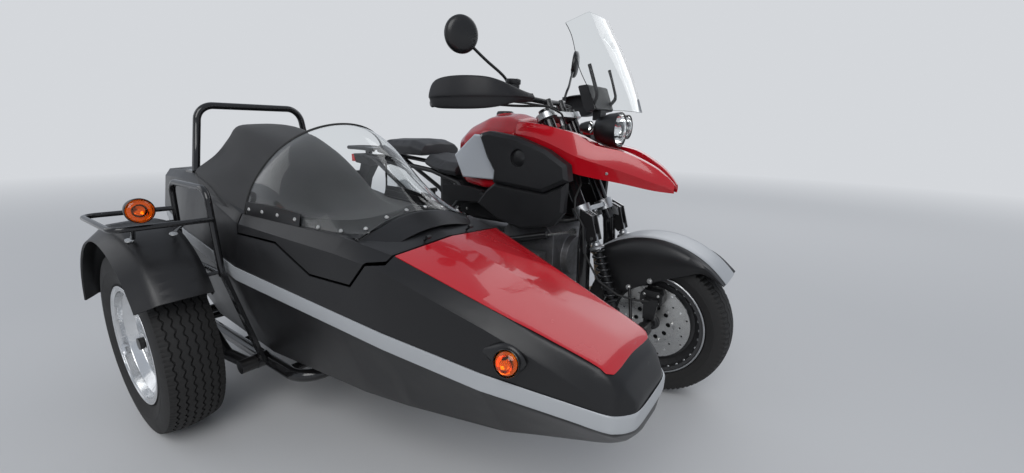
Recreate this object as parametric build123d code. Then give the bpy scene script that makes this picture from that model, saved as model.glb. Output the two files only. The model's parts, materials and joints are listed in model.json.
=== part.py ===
from build123d import *
import math
import os

os.makedirs("parts", exist_ok=True)

# Sidecar motorcycle. Millimetres, +X forward, +Y left, +Z up.
# Until the last step x is counted from the rear axle, y from the middle of the
# motorcycle and z from the road; the last step moves everything so that the
# origin is under the middle of the whole outfit, on the road.

# Wheels
WHEELBASE = 1570
SIDECAR_LEAD = 290
SIDECAR_TRACK = 1270
FRONT_TYRE_R = 285
FRONT_TYRE_WIDTH = 150
REAR_TYRE_R = 314
REAR_TYRE_WIDTH = 165
SIDECAR_TYRE_R = 314
SIDECAR_TYRE_WIDTH = 166
BEAD_R = 190
RIM_WALL = 6
RIM_SHARE = 0.40
FLANGE = 13
BEAD_FIT = 0.3
TYRE_WALL = 12
AXLE_R = 14
HUB_R = 32
HUB_LENGTH = 92
RUNNING_GAP = 0.05
DISC_R = 147
DISC_THICK = 6
DISC_Y = 40

# Steering and front suspension
RAKE = 26.4
TRAIL = 50
STEER_LIMIT = 30
FORK_SPREAD = 105
FORK_TUBE_R = 25
LEG_R = 27
LEG_TOP = 655
SHOCK_Y = 138
STUD_R = 10
STUD_BORE = 14
YOKE_HEIGHT = 1072
BRIDGE_HEIGHT = 705
LINK_PIVOT_X = 1302
LINK_PIVOT_Z = 286
LINK_SPREAD = 126
LINK_TUBE_R = 17
BAR_R = 11
GRIP_R = 17
GRIP_LENGTH = 125

# Sidecar body
BODY_Y = -817
BODY_WALL = 5
SKIN = 3
PANEL_GAP = 7
STRIPE_HEIGHT = 44
STRIPE_NOSE_Z = 466
STRIPE_SLOPE = 0.104
NOSE_X = 1812
TAIL_X = -250
COWL_FRONT_X = 1216
COWL_REAR_X = 606
SCREEN_WALL = 4
SCREEN_TOP_X = 763
SCREEN_TOP_Z = 1030
COVER_WALL = 5
ROLL_BAR_R = 12.5
LID_FRONT_X = 100

# Sidecar running gear
RAIL_R = 21
RAIL_Z = 200
OUTER_RAIL_Y = -1030
INNER_RAIL_Y = -560
LOOP_R = 10
LOOP_Y = -1152
RACK_R = 8
RACK_Z = 740
GUARD_R = 375
GUARD_LIFT = 26
GUARD_WALL = 4

YS = -SIDECAR_TRACK
FRONT_AXLE = Vector(WHEELBASE, 0, FRONT_TYRE_R)
REAR_AXLE = Vector(0, 0, REAR_TYRE_R)
SIDECAR_AXLE = Vector(SIDECAR_LEAD, YS, SIDECAR_TYRE_R)
STEER_DIR = Vector(-math.sin(math.radians(RAKE)), 0, math.cos(math.radians(RAKE)))
STEER_GROUND_X = WHEELBASE + TRAIL


def steer_x(z):
    """x of the steering axis at height z."""
    return STEER_GROUND_X - z * math.tan(math.radians(RAKE))


def steer_frame(z):
    """Plane square to the steering axis where it passes height z."""
    return Plane(origin=(steer_x(z), 0, z), x_dir=(0, 1, 0), z_dir=STEER_DIR)


def block(x0, x1, y0, y1, z0, z1):
    return Pos((x0 + x1) / 2, (y0 + y1) / 2, (z0 + z1) / 2) * Box(x1 - x0, y1 - y0, z1 - z0)


def rod(start, end, radius):
    start = Vector(*start)
    run = Vector(*end) - start
    base = Plane(origin=start, z_dir=run)
    return base * Cylinder(radius, run.length, align=(Align.CENTER, Align.CENTER, Align.MIN))


def pipe(points, radius, bend):
    """Round tube along straight runs joined by tangent arcs."""
    path = FilletPolyline(*points, radius=bend)
    start = Plane(origin=path @ 0, z_dir=path % 0)
    return sweep(start * Circle(radius), path=path)


def prism(points, y0, y1):
    """Side-view outline of (x, z) points, taken from y0 to y1."""
    wire = Wire.make_polygon([Vector(x, y0, z) for x, z in points], close=True)
    return Solid.extrude(Face(wire), Vector(0, y1 - y0, 0))


def slab(points, z0, z1):
    """Plan outline of (x, y) points, taken from z0 to z1."""
    wire = Wire.make_polygon([Vector(x, y, z0) for x, y in points], close=True)
    return Solid.extrude(Face(wire), Vector(0, 0, z1 - z0))


def mirrored(shape, y=0):
    return mirror(shape, about=Plane(origin=(0, y, 0), x_dir=(1, 0, 0), z_dir=(0, 1, 0)))


def pair(shape, y=0):
    """The shape and its mirror image in the plane at y, as separate solids."""
    return Compound(list(shape.solids()) + list(mirrored(shape, y).solids()))


def lofted(stations):
    """Straight-sided body through sections (x, [(y, z), ...]) with equal numbers of points."""
    wires = [Wire.make_polygon([Vector(x, y, z) for y, z in points], close=True) for x, points in stations]
    return Solid.make_loft(wires, True)


def ruled(stations, middle):
    """Symmetrical body through half sections (x, [(half width, z), ...]) listed from top to bottom."""
    return lofted([(x, [(middle - w, z) for w, z in half] + [(middle + w, z) for w, z in reversed(half) if w > 0])
                   for x, half in stations])


def joined(*shapes):
    total = shapes[0]
    for shape in shapes[1:]:
        total = total + shape
    return total


# Wheels: every tyre and rim is turned about its own axle


def tyre(radius, width):
    half, bead = width / 2, width * RIM_SHARE - BEAD_FIT
    crown, mid = width * 0.36, (radius + BEAD_R) / 2 + 8
    heel = BEAD_R + FLANGE + 2

    def section(cut, foot):
        b, h, c = bead - cut, half - cut, radius - 7 - cut
        with BuildSketch(Plane.YZ) as sketch:
            with BuildLine():
                Polyline((-b, heel), (-b, foot), (b, foot), (b, heel))
                ThreePointArc((b, heel), (h, mid), (crown, c))
                ThreePointArc((crown, c), (0, radius - cut), (-crown, c))
                ThreePointArc((-crown, c), (-h, mid), (-b, heel))
            make_face()
        return sketch.sketch

    ring = section(0, BEAD_R + BEAD_FIT) - section(TYRE_WALL, BEAD_R - 6)
    return revolve(ring, Axis.Y)


def rim(width, disc_y, windows, bore):
    """Barrel with flanges and a dropped middle, a pierced disc and a hub."""
    r, half, wall = BEAD_R, width * RIM_SHARE, RIM_WALL
    well = r - 24
    right = [(half * 0.4, well), (half - 20, r - 1), (half, r), (half, r + FLANGE - 1), (half + 9, r + FLANGE),
             (half + 9, r + FLANGE - 6), (half + wall, r + FLANGE - 7), (half + wall, r - wall),
             (half - 18, r - wall - 1), (half * 0.4 - 3, well - wall)]
    outline = right + [(-y, z) for y, z in reversed(right)]
    with BuildSketch(Plane.YZ) as sketch:
        Polygon(*outline, align=None)
    barrel = revolve(sketch.sketch, Axis.Y)
    disc = Pos(0, disc_y, 0) * Rot(90, 0, 0) * Cylinder(well - RIM_WALL / 2, 8)
    for i in range(windows):
        angle = 360 / windows * i
        hole = Rot(0, angle, 0) * Pos((well + HUB_R) * 0.62, disc_y, 0) * Rot(90, 0, 0) * Cylinder(17, 20)
        disc = disc - hole
    hub = Rot(90, 0, 0) * Cylinder(HUB_R, HUB_LENGTH)
    axle_bore = Rot(90, 0, 0) * Cylinder(bore, 400)
    return barrel + disc + hub - axle_bore


FRONT_DISC_Y = -14
REAR_DISC_Y = -20
SIDECAR_DISC_Y = 20


def front_wheel_pieces():
    place = Pos(*FRONT_AXLE)
    wheel = rim(FRONT_TYRE_WIDTH, FRONT_DISC_Y, 12, AXLE_R + RUNNING_GAP)
    disc = Rot(90, 0, 0) * Cylinder(DISC_R, DISC_THICK) - Rot(90, 0, 0) * Cylinder(88, 20)
    carrier = Rot(90, 0, 0) * Cylinder(90, 4) - Rot(90, 0, 0) * Cylinder(HUB_R + 0.2, 20)
    for i in range(10):
        window = Rot(0, 36 * i, 0) * Pos(64, 0, 0) * Rot(90, 0, 0) * Cylinder(9, 20)
        carrier = carrier - window
    for i in range(24):
        drill = Rot(0, 15 * i, 0) * Pos(108 + 14 * (i % 3), 0, 0) * Rot(90, 0, 0) * Cylinder(4, 20)
        disc = disc - drill
    brake = Pos(0, -DISC_Y, 0) * (disc + carrier)
    return {"front_tyre": place * tyre(FRONT_TYRE_R, FRONT_TYRE_WIDTH),
            "front_wheel": place * wheel, "brake_disc": place * brake}


def rear_wheel_pieces():
    place = Pos(*REAR_AXLE)
    return {"rear_tyre": place * tyre(REAR_TYRE_R, REAR_TYRE_WIDTH),
            "rear_wheel": place * rim(REAR_TYRE_WIDTH, REAR_DISC_Y, 10, AXLE_R + RUNNING_GAP)}


def sidecar_wheel_pieces():
    place = Pos(*SIDECAR_AXLE)
    return {"sidecar_tyre": place * tyre(SIDECAR_TYRE_R, SIDECAR_TYRE_WIDTH),
            "sidecar_wheel": place * rim(SIDECAR_TYRE_WIDTH, SIDECAR_DISC_Y, 10, AXLE_R + RUNNING_GAP)}


# Motorcycle: frame, engine and running gear


def bike_frame():
    head = steer_frame(1012)
    lug = head * Cylinder(30, 46)
    front = steer_x(1012) - 22
    spine = pair(pipe([(front, 14, 1005), (1002, 104, 738), (880, 124, 722), (640, 138, 686), (430, 138, 470)], 17, 50))
    upper = pair(pipe([(700, 133, 696), (600, 112, 766), (420, 108, 812), (-120, 96, 864)], 12, 60))
    lower = pair(pipe([(452, 136, 500), (250, 112, 690), (-60, 98, 858)], 12, 60))
    plate = pair(prism([(400, 500), (456, 506), (500, 420), (484, 366), (438, 366)], 138, 148))
    lug_pair = pair(block(985, 1022, 92, 118, 625, 735))
    cross = joined(rod((432, -140, 486), (432, 140, 486), 14), rod((-90, -98, 861), (-90, 98, 861), 10),
                   rod((640, -138, 686), (640, 138, 686), 13), rod((420, -108, 812), (420, 108, 812), 10))
    beam = block(front + 40, 1249.8, -24, 24, 975, 1003)
    frame = joined(lug, *spine.solids(), *upper.solids(), *lower.solids(), *plate.solids(), *lug_pair.solids(),
                   cross, beam)
    return frame - head * Cylinder(STUD_BORE, 120)


def wishbone():
    """Arm from the engine to the lower ball joint under the fork bridge."""
    z = BRIDGE_HEIGHT - 26
    eye = steer_frame(z)
    x = steer_x(z)
    arms = pair(pipe([(x - 24, 8, z - 12), (1180, 50, 645), (1046, 125, 642)], 11, 40))
    lugs = pair(block(1030, 1062, 110, 140, 625, 645))
    arm = joined(eye * Cylinder(26, 20), *arms.solids(), *lugs.solids())
    return arm - eye * Cylinder(STUD_BORE, 70)


def engine_block():
    case = block(912, 1168, -150, 150, 305, 625)
    case = chamfer(case.edges().filter_by(Axis.Y), 34)
    gearbox = block(504, 914, -118, 118, 330, 560)
    gearbox = chamfer(gearbox.edges().filter_by(Axis.Y), 30)
    cover = Pos(1180, 0, 480) * Rot(0, 90, 0) * Cylinder(88, 40)
    sump = block(930, 1150, -110, 110, 250, 310)
    return joined(case, gearbox, cover, sump)


def cylinders():
    """Finned barrel, head and rounded rocker cover on each side."""
    result = []
    for side, x in ((-1, 1062), (1, 1030)):
        place = Pos(x, side * 150, 452) * Rot(side * -90, 0, 0)
        barrel = Pos(0, 0, 36) * Cylinder(58, 72)
        for i in range(5):
            barrel = barrel + Pos(0, 0, 16 + 12 * i) * Box(156, 140, 5)
        head = Pos(0, 0, 106) * Box(164, 150, 70)
        head = chamfer(head.edges().filter_by(Axis.Z), 22)
        cover = Pos(0, 0, 172) * Box(176, 128, 62)
        cover = fillet(cover.edges().filter_by(Axis.Z), 44)
        cover = chamfer(cover.faces().sort_by(Axis.Z)[-1].edges(), 16)
        result.append(place * joined(barrel, head, cover))
    return Compound([s for piece in result for s in piece.solids()])


def exhaust():
    """Two headers, a collector box under the gearbox and a silencer on the left."""
    headers = [pipe([(x, side * 268, 446), (x + 58, side * 266, 440), (1216, side * 236, 262),
                     (1080, side * 120, 216), (760, side * 104, 226)], 19, 34) for side, x in ((-1, 1150.5), (1, 1118.5))]
    box = block(560, 800, -128, 128, 188, 268)
    box = fillet(box.edges().filter_by(Axis.Y), 30)
    link = pipe([(600, 110, 230), (470, 168, 250), (330, 205, 330), (220, 226, 420)], 22, 70)
    start, end = (236, 224, 410), (-210, 262, 650)
    can = rod(start, end, 62)
    tip = rod(end, (-240, 264, 666), 34)
    return joined(*headers, box, link, can, tip)


def swingarm():
    """Single-sided arm with bevel housing and stub axle, its stay and the rear shock."""
    housing = Pos(0, -130, REAR_TYRE_R) * Rot(90, 0, 0) * Cylinder(92, 66)
    housing = chamfer(housing.faces().sort_by(Axis.Y)[0].edges(), 18)
    tube = rod((388, -133, 389), (60, -136, 325), 40)
    root = rod((462, -118, 402), (370, -118, 388), 19)
    stub = rod((0, -100, REAR_TYRE_R), (0, 52, REAR_TYRE_R), AXLE_R)
    cap = rod((0, HUB_LENGTH / 2 + 2, REAR_TYRE_R), (0, HUB_LENGTH / 2 + 14, REAR_TYRE_R), 24)
    torque = rod((60, -158, 250), (470, -129, 330), 11)
    shock = joined(rod((376, -104, 402), (356, -44, 700), 16), rod((372, -94, 452), (358, -50, 668), 30),
                   rod((356, -96, 700), (356, -20, 700), 12))
    pivot = rod((462, -137.9, 402), (462, 137.9, 402), 22)
    return joined(housing, tube, root, stub, cap, torque, shock, pivot)


def footpegs():
    peg = joined(rod((520, -150, 372), (520, -262, 372), 13), block(500, 540, -150, -118, 356, 410))
    return pair(peg)


# Motorcycle: tank, covers, beak, seats and lamps

TANK = [(600, 96, 800, 96, 960, 60, 985, 992),
        (680, 140, 770, 150, 985, 92, 1030, 1042),
        (800, 164, 760, 172, 1010, 108, 1072, 1090),
        (900, 166, 770, 174, 1012, 112, 1074, 1092),
        (968, 150, 800, 160, 1000, 104, 1052, 1068)]


def fuel_tank():
    """Stations (x, foot half width, z, belly half width, z, shoulder half width, z, crown z)."""
    body = ruled([(x, [(0, zt), (w2, z2), (w1, z1), (w0, z0), (0, z0)])
                  for x, w0, z0, w1, z1, w2, z2, zt in TANK], 0)
    cap = Pos(800, 0, 1088) * Cylinder(42, 18)
    return body + cap


def side_covers():
    upper = prism([(826, 1000), (880, 1012), (1020, 992), (1160, 945), (1252, 892), (1262, 832),
                   (1150, 780), (900, 800), (905, 850), (868, 905)], 178, 232)
    upper = chamfer(upper.faces().sort_by(Axis.Y)[-1].edges(), 14)
    recess = Pos(1035, 226, 908) * Rot(90, 0, 0) * Cylinder(36, 14)
    lower = prism([(900, 798), (1150, 778), (1244, 822), (1238, 705), (1195, 648), (1040, 612),
                   (915, 640), (800, 700), (850, 760)], 178, 214)
    lower = chamfer(lower.faces().sort_by(Axis.Y)[-1].edges(), 12)
    rest = prism([(560, 760), (690, 764), (800, 752), (860, 735), (800, 700), (640, 690), (560, 712)], 159, 176)
    bridge = block(800, 840, 165, 190, 712, 740)
    return pair(joined(upper - recess, lower, rest, bridge))


def side_trims():
    """Light panel between the tank and each side cover."""
    panel = prism([(770, 998), (822, 996), (864, 905), (898, 845), (880, 806), (700, 806), (652, 905)], 175.5, 190)
    return pair(chamfer(panel.faces().sort_by(Axis.Y)[-1].edges(), 5))


LAMP_R = 66
SMALL_LAMP_R = 48
BEAK_WALL = 4

# Columns: x, foot half width and z, belly half width and z, top half width and z, channel half width
BEAK = [(1095, 168, 905, 176, 985, 164, 1040, 152),
        (1250, 160, 858, 175, 930, 154, 1004, 122),
        (1310, 138, 848, 153, 912, 134, 966, 62),
        (1420, 96, 828, 112, 880, 96, 946, 54),
        (1520, 58, 806, 70, 845, 58, 900, 26),
        (1600, 24, 796, 30, 808, 22, 826, 8)]


def beak():
    """Two-pronged nose piece, open below, with a stay across it behind the lamps."""
    t = BEAK_WALL
    prong = lofted([(x, [(w0, z0), (w1, z1), (w2, zt), (c, zt), (c, zt - t), (w2 - t, zt - t), (w1 - t, z1), (w0 - t, z0)])
                    for x, w0, z0, w1, z1, w2, zt, c in BEAK])
    stay = block(1252, 1272, -160, 160, 946, 970)
    tip = slab([(1572, -35), (1594, -26), (1594, 26), (1572, 35)], 801, 818)
    return joined(stay, tip, *pair(prong).solids())


def headlamp():
    """Lamp housings on the front carrier: the large round lamp on the right."""
    big = Pos(1330, -58, 1024) * Rot(0, 90, 0)
    small = Pos(1322, 62, 1036) * Rot(0, 90, 0)
    bowl = big * Cone(44, LAMP_R, 104)
    small_bowl = small * Cone(34, SMALL_LAMP_R, 90)
    rims = joined(big * Pos(0, 0, 56) * Cylinder(LAMP_R, 14), small * Pos(0, 0, 48) * Cylinder(SMALL_LAMP_R, 12))
    bridge = block(1250, 1300, -70, 70, 990, 1060)
    return joined(bowl, small_bowl, rims, bridge)


def indicators():
    """Small lamps of one kind: two on the beak, two at the sidecar nose, one on the rack."""
    front = [joined(rod((1264, side * 70.5, 1022), (1264, side * 140, 1028), 6),
                    Pos(1286, side * 146, 1032) * Rot(0, 90, 0) * Cone(16, 23, 44)) for side in (-1, 1)]
    nose = []
    for side in (-1, 1):
        y = BODY_Y + side * 187
        nose.append(Pos(1560, y, 548) * Rot(-90 * side, 0, 0) * Rot(0, 12, 0) * Cone(32, 24, 30))
    rack = joined(rod((534, -1325, RACK_Z + RACK_R), (534, -1325, RACK_Z + 26), 9),
                  Pos(534, -1325, RACK_Z + 52) * Rot(0, 90, 0) * Cone(24, 34, 52))
    nose = [piece - hull_form(0.3) for piece in nose]
    return Compound([s for piece in front + nose + [rack] for s in piece.solids()])


def bike_screen():
    """Three-plane wind shield, four millimetres thick."""
    outer = [(1412, 1092, 96, 1350, 196), (1352, 1240, 104, 1280, 214), (1242, 1448, 92, 1192, 168)]
    shells = []
    for shift in (0, -4):
        wires = []
        for x, z, w, xw, ww in outer:
            pts = [(xw + shift, -ww), (x + shift, -w), (x + shift, w), (xw + shift, ww), (xw - 60, ww), (xw - 60, -ww)]
            wires.append(Wire.make_polygon([Vector(px, py, z) for px, py in pts], close=True))
        shells.append(Solid.make_loft(wires, True))
    back = Pos(-4, 0, 0) * shells[0]
    pane = shells[0] - back
    return Compound([max(pane.solids(), key=lambda s: s.volume)])


def instrument_cluster():
    body = prism([(1250, 1090), (1292, 1098), (1256, 1192), (1214, 1188)], -88, 88)
    body = chamfer(body.edges().filter_by(Axis.Y), 5)
    bracket = block(1254, 1288, -26, 26, 1060, 1100)
    stay = pair(pipe([(1272, 70, 1110), (1300, 90, 1150), (1262, 96, 1262)], 7, 30))
    return joined(body, bracket, *stay.solids())


def rider_seat():
    return ruled([(x, [(0, zt), (w * 0.72, zt - 8), (w, zt - 42), (w * 0.92, z0), (0, z0)])
                  for x, w, z0, zt in ((392, 150, 842, 905), (500, 158, 806, 872), (600, 134, 790, 862),
                                       (690, 86, 800, 880), (720, 70, 860, 925))], 0) - fuel_tank_clear()


def fuel_tank_clear():
    """Space the tank takes out of the seat's nose, with half a millimetre to spare."""
    return ruled([(x - 0.5, [(0, zt + 60), (w2 + 30, zt + 60), (w1 + 30, z1), (w0 + 30, z0 - 60), (0, z0 - 60)])
                  for x, w0, z0, w1, z1, w2, z2, zt in TANK], 0)


def pillion_seat():
    return ruled([(x, [(0, zt), (w * 0.78, zt - 7), (w, zt - 34), (w * 0.94, z0), (0, z0)])
                  for x, w, z0, zt in ((-10, 118, 884, 938), (90, 140, 884, 962), (300, 150, 884, 966),
                                       (386, 144, 884, 944))], 0)


def rear_rack():
    """Carrier plate with four fixing holes, on two rails over the tail."""
    plate = block(-250, -40, -95, 95, 900, 910)
    for x in (-205, -85):
        for y in (-60, 60):
            plate = plate - Pos(x, y, 905) * Cylinder(3.3, 40)
    rails = pair(pipe([(-30, 108, 900), (-120, 112, 905), (-300, 96, 905), (-318, 0.5, 905)], 11, 40))
    feet = pair(joined(block(-108, -76, 84, 108, 876.5, 902), block(-232, -60, 90, 110, 898, 906)))
    return joined(plate, *rails.solids(), *feet.solids())


def rear_mudguard():
    """Tail moulding with the bracket that carries the blank plate."""
    tail = ruled([(x, [(0, zt), (w, zt), (w * 0.8, z0), (0, z0)])
                  for x, w, z0, zt in ((20, 78, 832, 850), (-150, 74, 800, 850), (-300, 56, 812, 866))], 0)
    stem = prism([(-160, 806), (-270, 818), (-352, 610), (-340, 600)], -26, 26)
    plate = prism([(-348, 636), (-342, 634), (-300, 758), (-306, 760)], -85, 85)
    return joined(tail, stem, plate)


def tail_lamps():
    bike = block(-326, -300.2, -52, 52, 818, 862)
    car = [block(TAIL_X - 18, TAIL_X - 0.5, BODY_Y + side * 150 - 28, BODY_Y + side * 150 + 28, 700, 760)
           for side in (-1, 1)]
    return Compound([s for piece in [bike] + car for s in piece.solids()])


# Steering: fork, leading link, bars and everything that turns with them


def fork_form(grow):
    """One side of the fork: straight upper tube and the leg that drops to the link."""
    top, low = YOKE_HEIGHT + 26, LEG_TOP - 8
    upper = rod((steer_x(top), FORK_SPREAD, top), (steer_x(low), FORK_SPREAD, low), FORK_TUBE_R + grow)
    leg = pipe([(steer_x(LEG_TOP), FORK_SPREAD + 4, LEG_TOP), (1297, LINK_SPREAD, 560),
                (LINK_PIVOT_X, LINK_SPREAD, LINK_PIVOT_Z)], LEG_R + grow, 60)
    return upper + leg


def fork_legs():
    return pair(fork_form(0))


def fork_clamps():
    """Upper yoke with its stud, and the split lower clamps with bridge and shock brackets."""
    head = steer_frame(YOKE_HEIGHT)
    yoke = head * (Box(2 * FORK_SPREAD + 10, 60, 24) + Pos(FORK_SPREAD, 0, 0) * Cylinder(42, 24)
                   + Pos(-FORK_SPREAD, 0, 0) * Cylinder(42, 24))
    stud = head * Pos(0, 0, -48) * Cylinder(STUD_R, 96)
    foot = steer_frame(BRIDGE_HEIGHT)
    bridge = foot * Box(2 * FORK_SPREAD, 38, 18)
    pin = foot * Pos(0, 0, -22) * Cylinder(STUD_R, 50)
    rings = [foot * Pos(side * FORK_SPREAD, 0, 0) * Cylinder(FORK_TUBE_R + 12, 44) for side in (-1, 1)]
    outline = [(1286, 724), (1340, 700), (1366, 606), (1340, 590), (1322, 604), (1318, 650), (1290, 676)]
    plates = [pair(prism(outline, SHOCK_Y + side * 20 - 4, SHOCK_Y + side * 20 + 4)) for side in (-1, 1)]
    web = pair(prism([(1300, 712), (1336, 696), (1340, 664), (1316, 668)], SHOCK_Y - 30, SHOCK_Y + 24))
    low = joined(bridge, pin, *rings, *[s for plate in plates for s in plate.solids()], *web.solids())
    fork = pair(fork_form(0.2))
    high = joined(yoke, stud)
    for leg in fork.solids():
        high, low = high - leg, low - leg
    return Compound([max(high.solids(), key=lambda s: s.volume), max(low.solids(), key=lambda s: s.volume)])


def leading_link():
    """Arms from the pivots to the axle, with a cross tube behind the tyre."""
    arm = pipe([(1240, 60, LINK_PIVOT_Z), (1240, LINK_SPREAD + 49, LINK_PIVOT_Z),
                (WHEELBASE, LINK_SPREAD + 30, FRONT_TYRE_R)], LINK_TUBE_R, 30)
    cross = rod((1240, -62, LINK_PIVOT_Z), (1240, 62, LINK_PIVOT_Z), LINK_TUBE_R)
    hub_end = rod((WHEELBASE, LINK_SPREAD, FRONT_TYRE_R), (WHEELBASE, LINK_SPREAD + 46, FRONT_TYRE_R), 27)
    bush = rod((LINK_PIVOT_X, LINK_SPREAD + LEG_R + 1, LINK_PIVOT_Z),
               (LINK_PIVOT_X, LINK_SPREAD + LEG_R + 28, LINK_PIVOT_Z), 24)
    ear = block(1440, 1464, SHOCK_Y + 17, LINK_SPREAD + 36, 290, 344)
    sides = [pair(piece) for piece in (arm, hub_end, bush, ear)]
    axle = rod((WHEELBASE, -LINK_SPREAD - 40, FRONT_TYRE_R), (WHEELBASE, LINK_SPREAD + 40, FRONT_TYRE_R), AXLE_R)
    return joined(cross, axle, *[s for side in sides for s in side.solids()])


def front_shocks():
    """Spring units ahead of the legs, from the clamp brackets to the link."""
    y = SHOCK_Y
    top, low = (1344, y, 612), (1452, y, 330)
    unit = joined(rod(top, low, 9), rod((1360, y, 570), (1437, y, 369), 28),
                  rod((1344, y + 15.8, 612), (1344, y - 15.8, 612), 14),
                  rod((1452, y + 16.8, 330), (1452, y - 15, 330), 13))
    return pair(unit)


def front_mudguard():
    """Arched top with flat sides that reach down over the rim, carried on stays from the link."""
    cx, cz = WHEELBASE - 14, FRONT_TYRE_R + 4
    outer_r = FRONT_TYRE_R + 62
    width = 103
    roof = Pos(cx, 0, cz) * Rot(90, 0, 0) * Cylinder(outer_r, 2 * width)
    inner = Pos(cx, 0, cz) * Rot(90, 0, 0) * Cylinder(outer_r - 4, 2 * width - 8)
    side_view = [(1362, 470), (1386, 412), (1484, 408), (1604, 478), (1738, 538), (1812, 505), (1830, 700),
                 (1400, 700), (1352, 600)]
    keep = prism(side_view, -150, 150)
    shell = (roof - inner) & keep
    wheel_gap = prism([(1300, 380), (1352, 470), (1430, 590), (1300, 700)], -92, 92)
    shell = shell - wheel_gap
    stay = pair(joined(rod((1490, width + 2, 424), (1520, LINK_SPREAD + 6, 302), 7),
                       rod((1490, width - 3, 424), (1490, width + 8, 424), 9)))
    return joined(shell, *stay.solids())


def brake_caliper():
    """Opposed-piston caliper over the disc, on the right arm of the link."""
    body = block(1530, 1616, -92, -28, 366, 428)
    body = chamfer(body.edges().filter_by(Axis.Y), 14)
    gap = Pos(WHEELBASE, -DISC_Y, FRONT_TYRE_R) * Rot(90, 0, 0) * Cylinder(DISC_R + 6, DISC_THICK + 10)
    bracket = prism([(1552, 316), (1594, 316), (1606, 400), (1550, 400)], -108, -88)
    return joined(body - gap, bracket)


BAR_ROUTE = [(815, -455, 1112), (900, -330, 1146), (1030, -130, 1140), (1056, -66, 1132), (1056, 66, 1132),
             (1030, 130, 1140), (900, 330, 1146), (815, 455, 1112)]


def bar_point(distance):
    """Point on the right half of the bar, this far from the bend beside the grip."""
    bend, inner = Vector(*BAR_ROUTE[1]), Vector(*BAR_ROUTE[2])
    return bend + (inner - bend).normalized() * distance


def bar_collar(start, length, radius):
    """Ring that grips the bar."""
    ring = rod(tuple(bar_point(start)), tuple(bar_point(start + length)), radius)
    return ring - rod(tuple(bar_point(start - 3)), tuple(bar_point(start + length + 3)), BAR_R + 0.1)


def handlebar():
    bar = pipe(BAR_ROUTE, BAR_R, 45)
    head = steer_frame(YOKE_HEIGHT)
    risers = [head * Pos(side * 52, 0, 44) * Cylinder(17, 63.8) for side in (-1, 1)]
    perch = rod(tuple(bar_point(24)), tuple(bar_point(54)), 20)
    reach = bar_point(30)
    levers = pair(joined(perch, rod(tuple(reach), (reach.X + 52, reach.Y - 16, 1128), 8),
                         rod((reach.X + 52, reach.Y - 16, 1128), (880, -440, 1112), 6)))
    cup = bar_point(46)
    tank = Pos(cup.X + 6, cup.Y - 8, 1184) * Cylinder(20, 32)
    neck = rod(tuple(cup), (cup.X + 6, cup.Y - 8, 1170), 11)
    return joined(bar, *risers, *levers.solids(), tank, neck)


def grips():
    end, inner = Vector(*BAR_ROUTE[0]), Vector(*BAR_ROUTE[1])
    run = (inner - end).normalized()
    grip = rod(tuple(end + run * 0.5), tuple(end + run * GRIP_LENGTH), GRIP_R)
    grip = grip - rod(tuple(end - run * 2), tuple(end + run * (GRIP_LENGTH + 5)), BAR_R + 0.1)
    return pair(grip)


def hand_guards():
    """Curved shield ahead of each grip, with a rolled top edge."""
    outer = [(826, -480), (900, -490), (1000, -466), (1070, -404), (1112, -304), (1108, -238)]
    inner = [(1102, -240), (1104, -302), (1064, -398), (996, -459), (900, -483), (828, -474)]
    wall = slab(outer + inner, 1088, 1202)
    trim = joined(prism([(780, 1140), (900, 1230), (700, 1230)], -600, -200),
                  prism([(1010, 1212), (1130, 1150), (1200, 1240)], -600, -200),
                  prism([(780, 1112), (900, 1080), (700, 1060)], -600, -200))
    wall = wall - trim
    roof = slab([(840, -478), (900, -488), (1000, -464), (1060, -404), (1040, -384), (980, -434), (900, -456)],
                1176, 1182) - trim
    end = Vector(*BAR_ROUTE[0])
    run = (Vector(*BAR_ROUTE[1]) - end).normalized()
    weight = rod(tuple(end - run * 0.3), tuple(end - run * 22), 14)
    arm = rod(tuple(end - run * 16), (828, -477, 1120), 8)
    collar = bar_collar(62, 18, 16)
    stay = rod((bar_point(71).X + 17, bar_point(71).Y, bar_point(71).Z), (1104, -242, 1128), 5)
    return pair(joined(wall, roof, weight, arm, collar, stay))


def mirrors():
    """Round mirrors on bent stems clamped to the bar."""
    foot = bar_point(104)
    stem = pipe([(foot.X, foot.Y, foot.Z + 15), (foot.X + 8, foot.Y - 26, 1215), (936, -386, 1300)], 6, 30)
    head = Pos(923, -430, 1345) * Rot(0, -90, 0) * Rot(-8, 8, 0) * Cone(64, 46, 30)
    neck = rod((936, -386, 1300), (918, -408, 1322), 7)
    return pair(joined(bar_collar(95, 18, 16), stem, neck, head))


def brake_hose():
    """From the bar's fluid tank down the right fork leg to the caliper."""
    route = [(946, -300, 1133), (1040, -196, 1122), (1118, -146, 1110), (1152, -96, 1084), (1154, -64, 1040),
             (1173, -60, 960), (1216, -58, 870), (1258, -104, 812), (1262, -156, 762), (1270, -169, 715), (1312, -176, 660),
             (1326, -186, 560), (1395, -186, 455), (1470, -172, 412), (1535, -140, 396), (1572, -112.6, 392)]
    return pipe(route, 4, 22)


# Sidecar body

# Columns: x, shoulder half width and z, crease half width and z, stripe half width,
# chine half width and z, crown z
HULL = [(TAIL_X, 186, 836, 206, 808, 226, 170, 352, 844),
        (130, 226, 852, 246, 822, 286, 212, 276, 862),
        (COWL_REAR_X - 6, 275, 755, 290, 726, 314, 232, 268, 770),
        (1061, 231, 744, 260, 706, 266, 196, 276, 774),
        (1221, 201, 716, 246, 690, 249, 176, 286, 728),
        (1500, 158, 631, 190, 597, 206, 118, 300, 640),
        (1740, 121, 557, 140, 500, 146, 44, 330, 566),
        (1780, 108, 528, 128, 484, 136, 36, 352, 534),
        (NOSE_X, 74, 478, 82, 472, 92, 30, 396, 480)]


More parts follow.
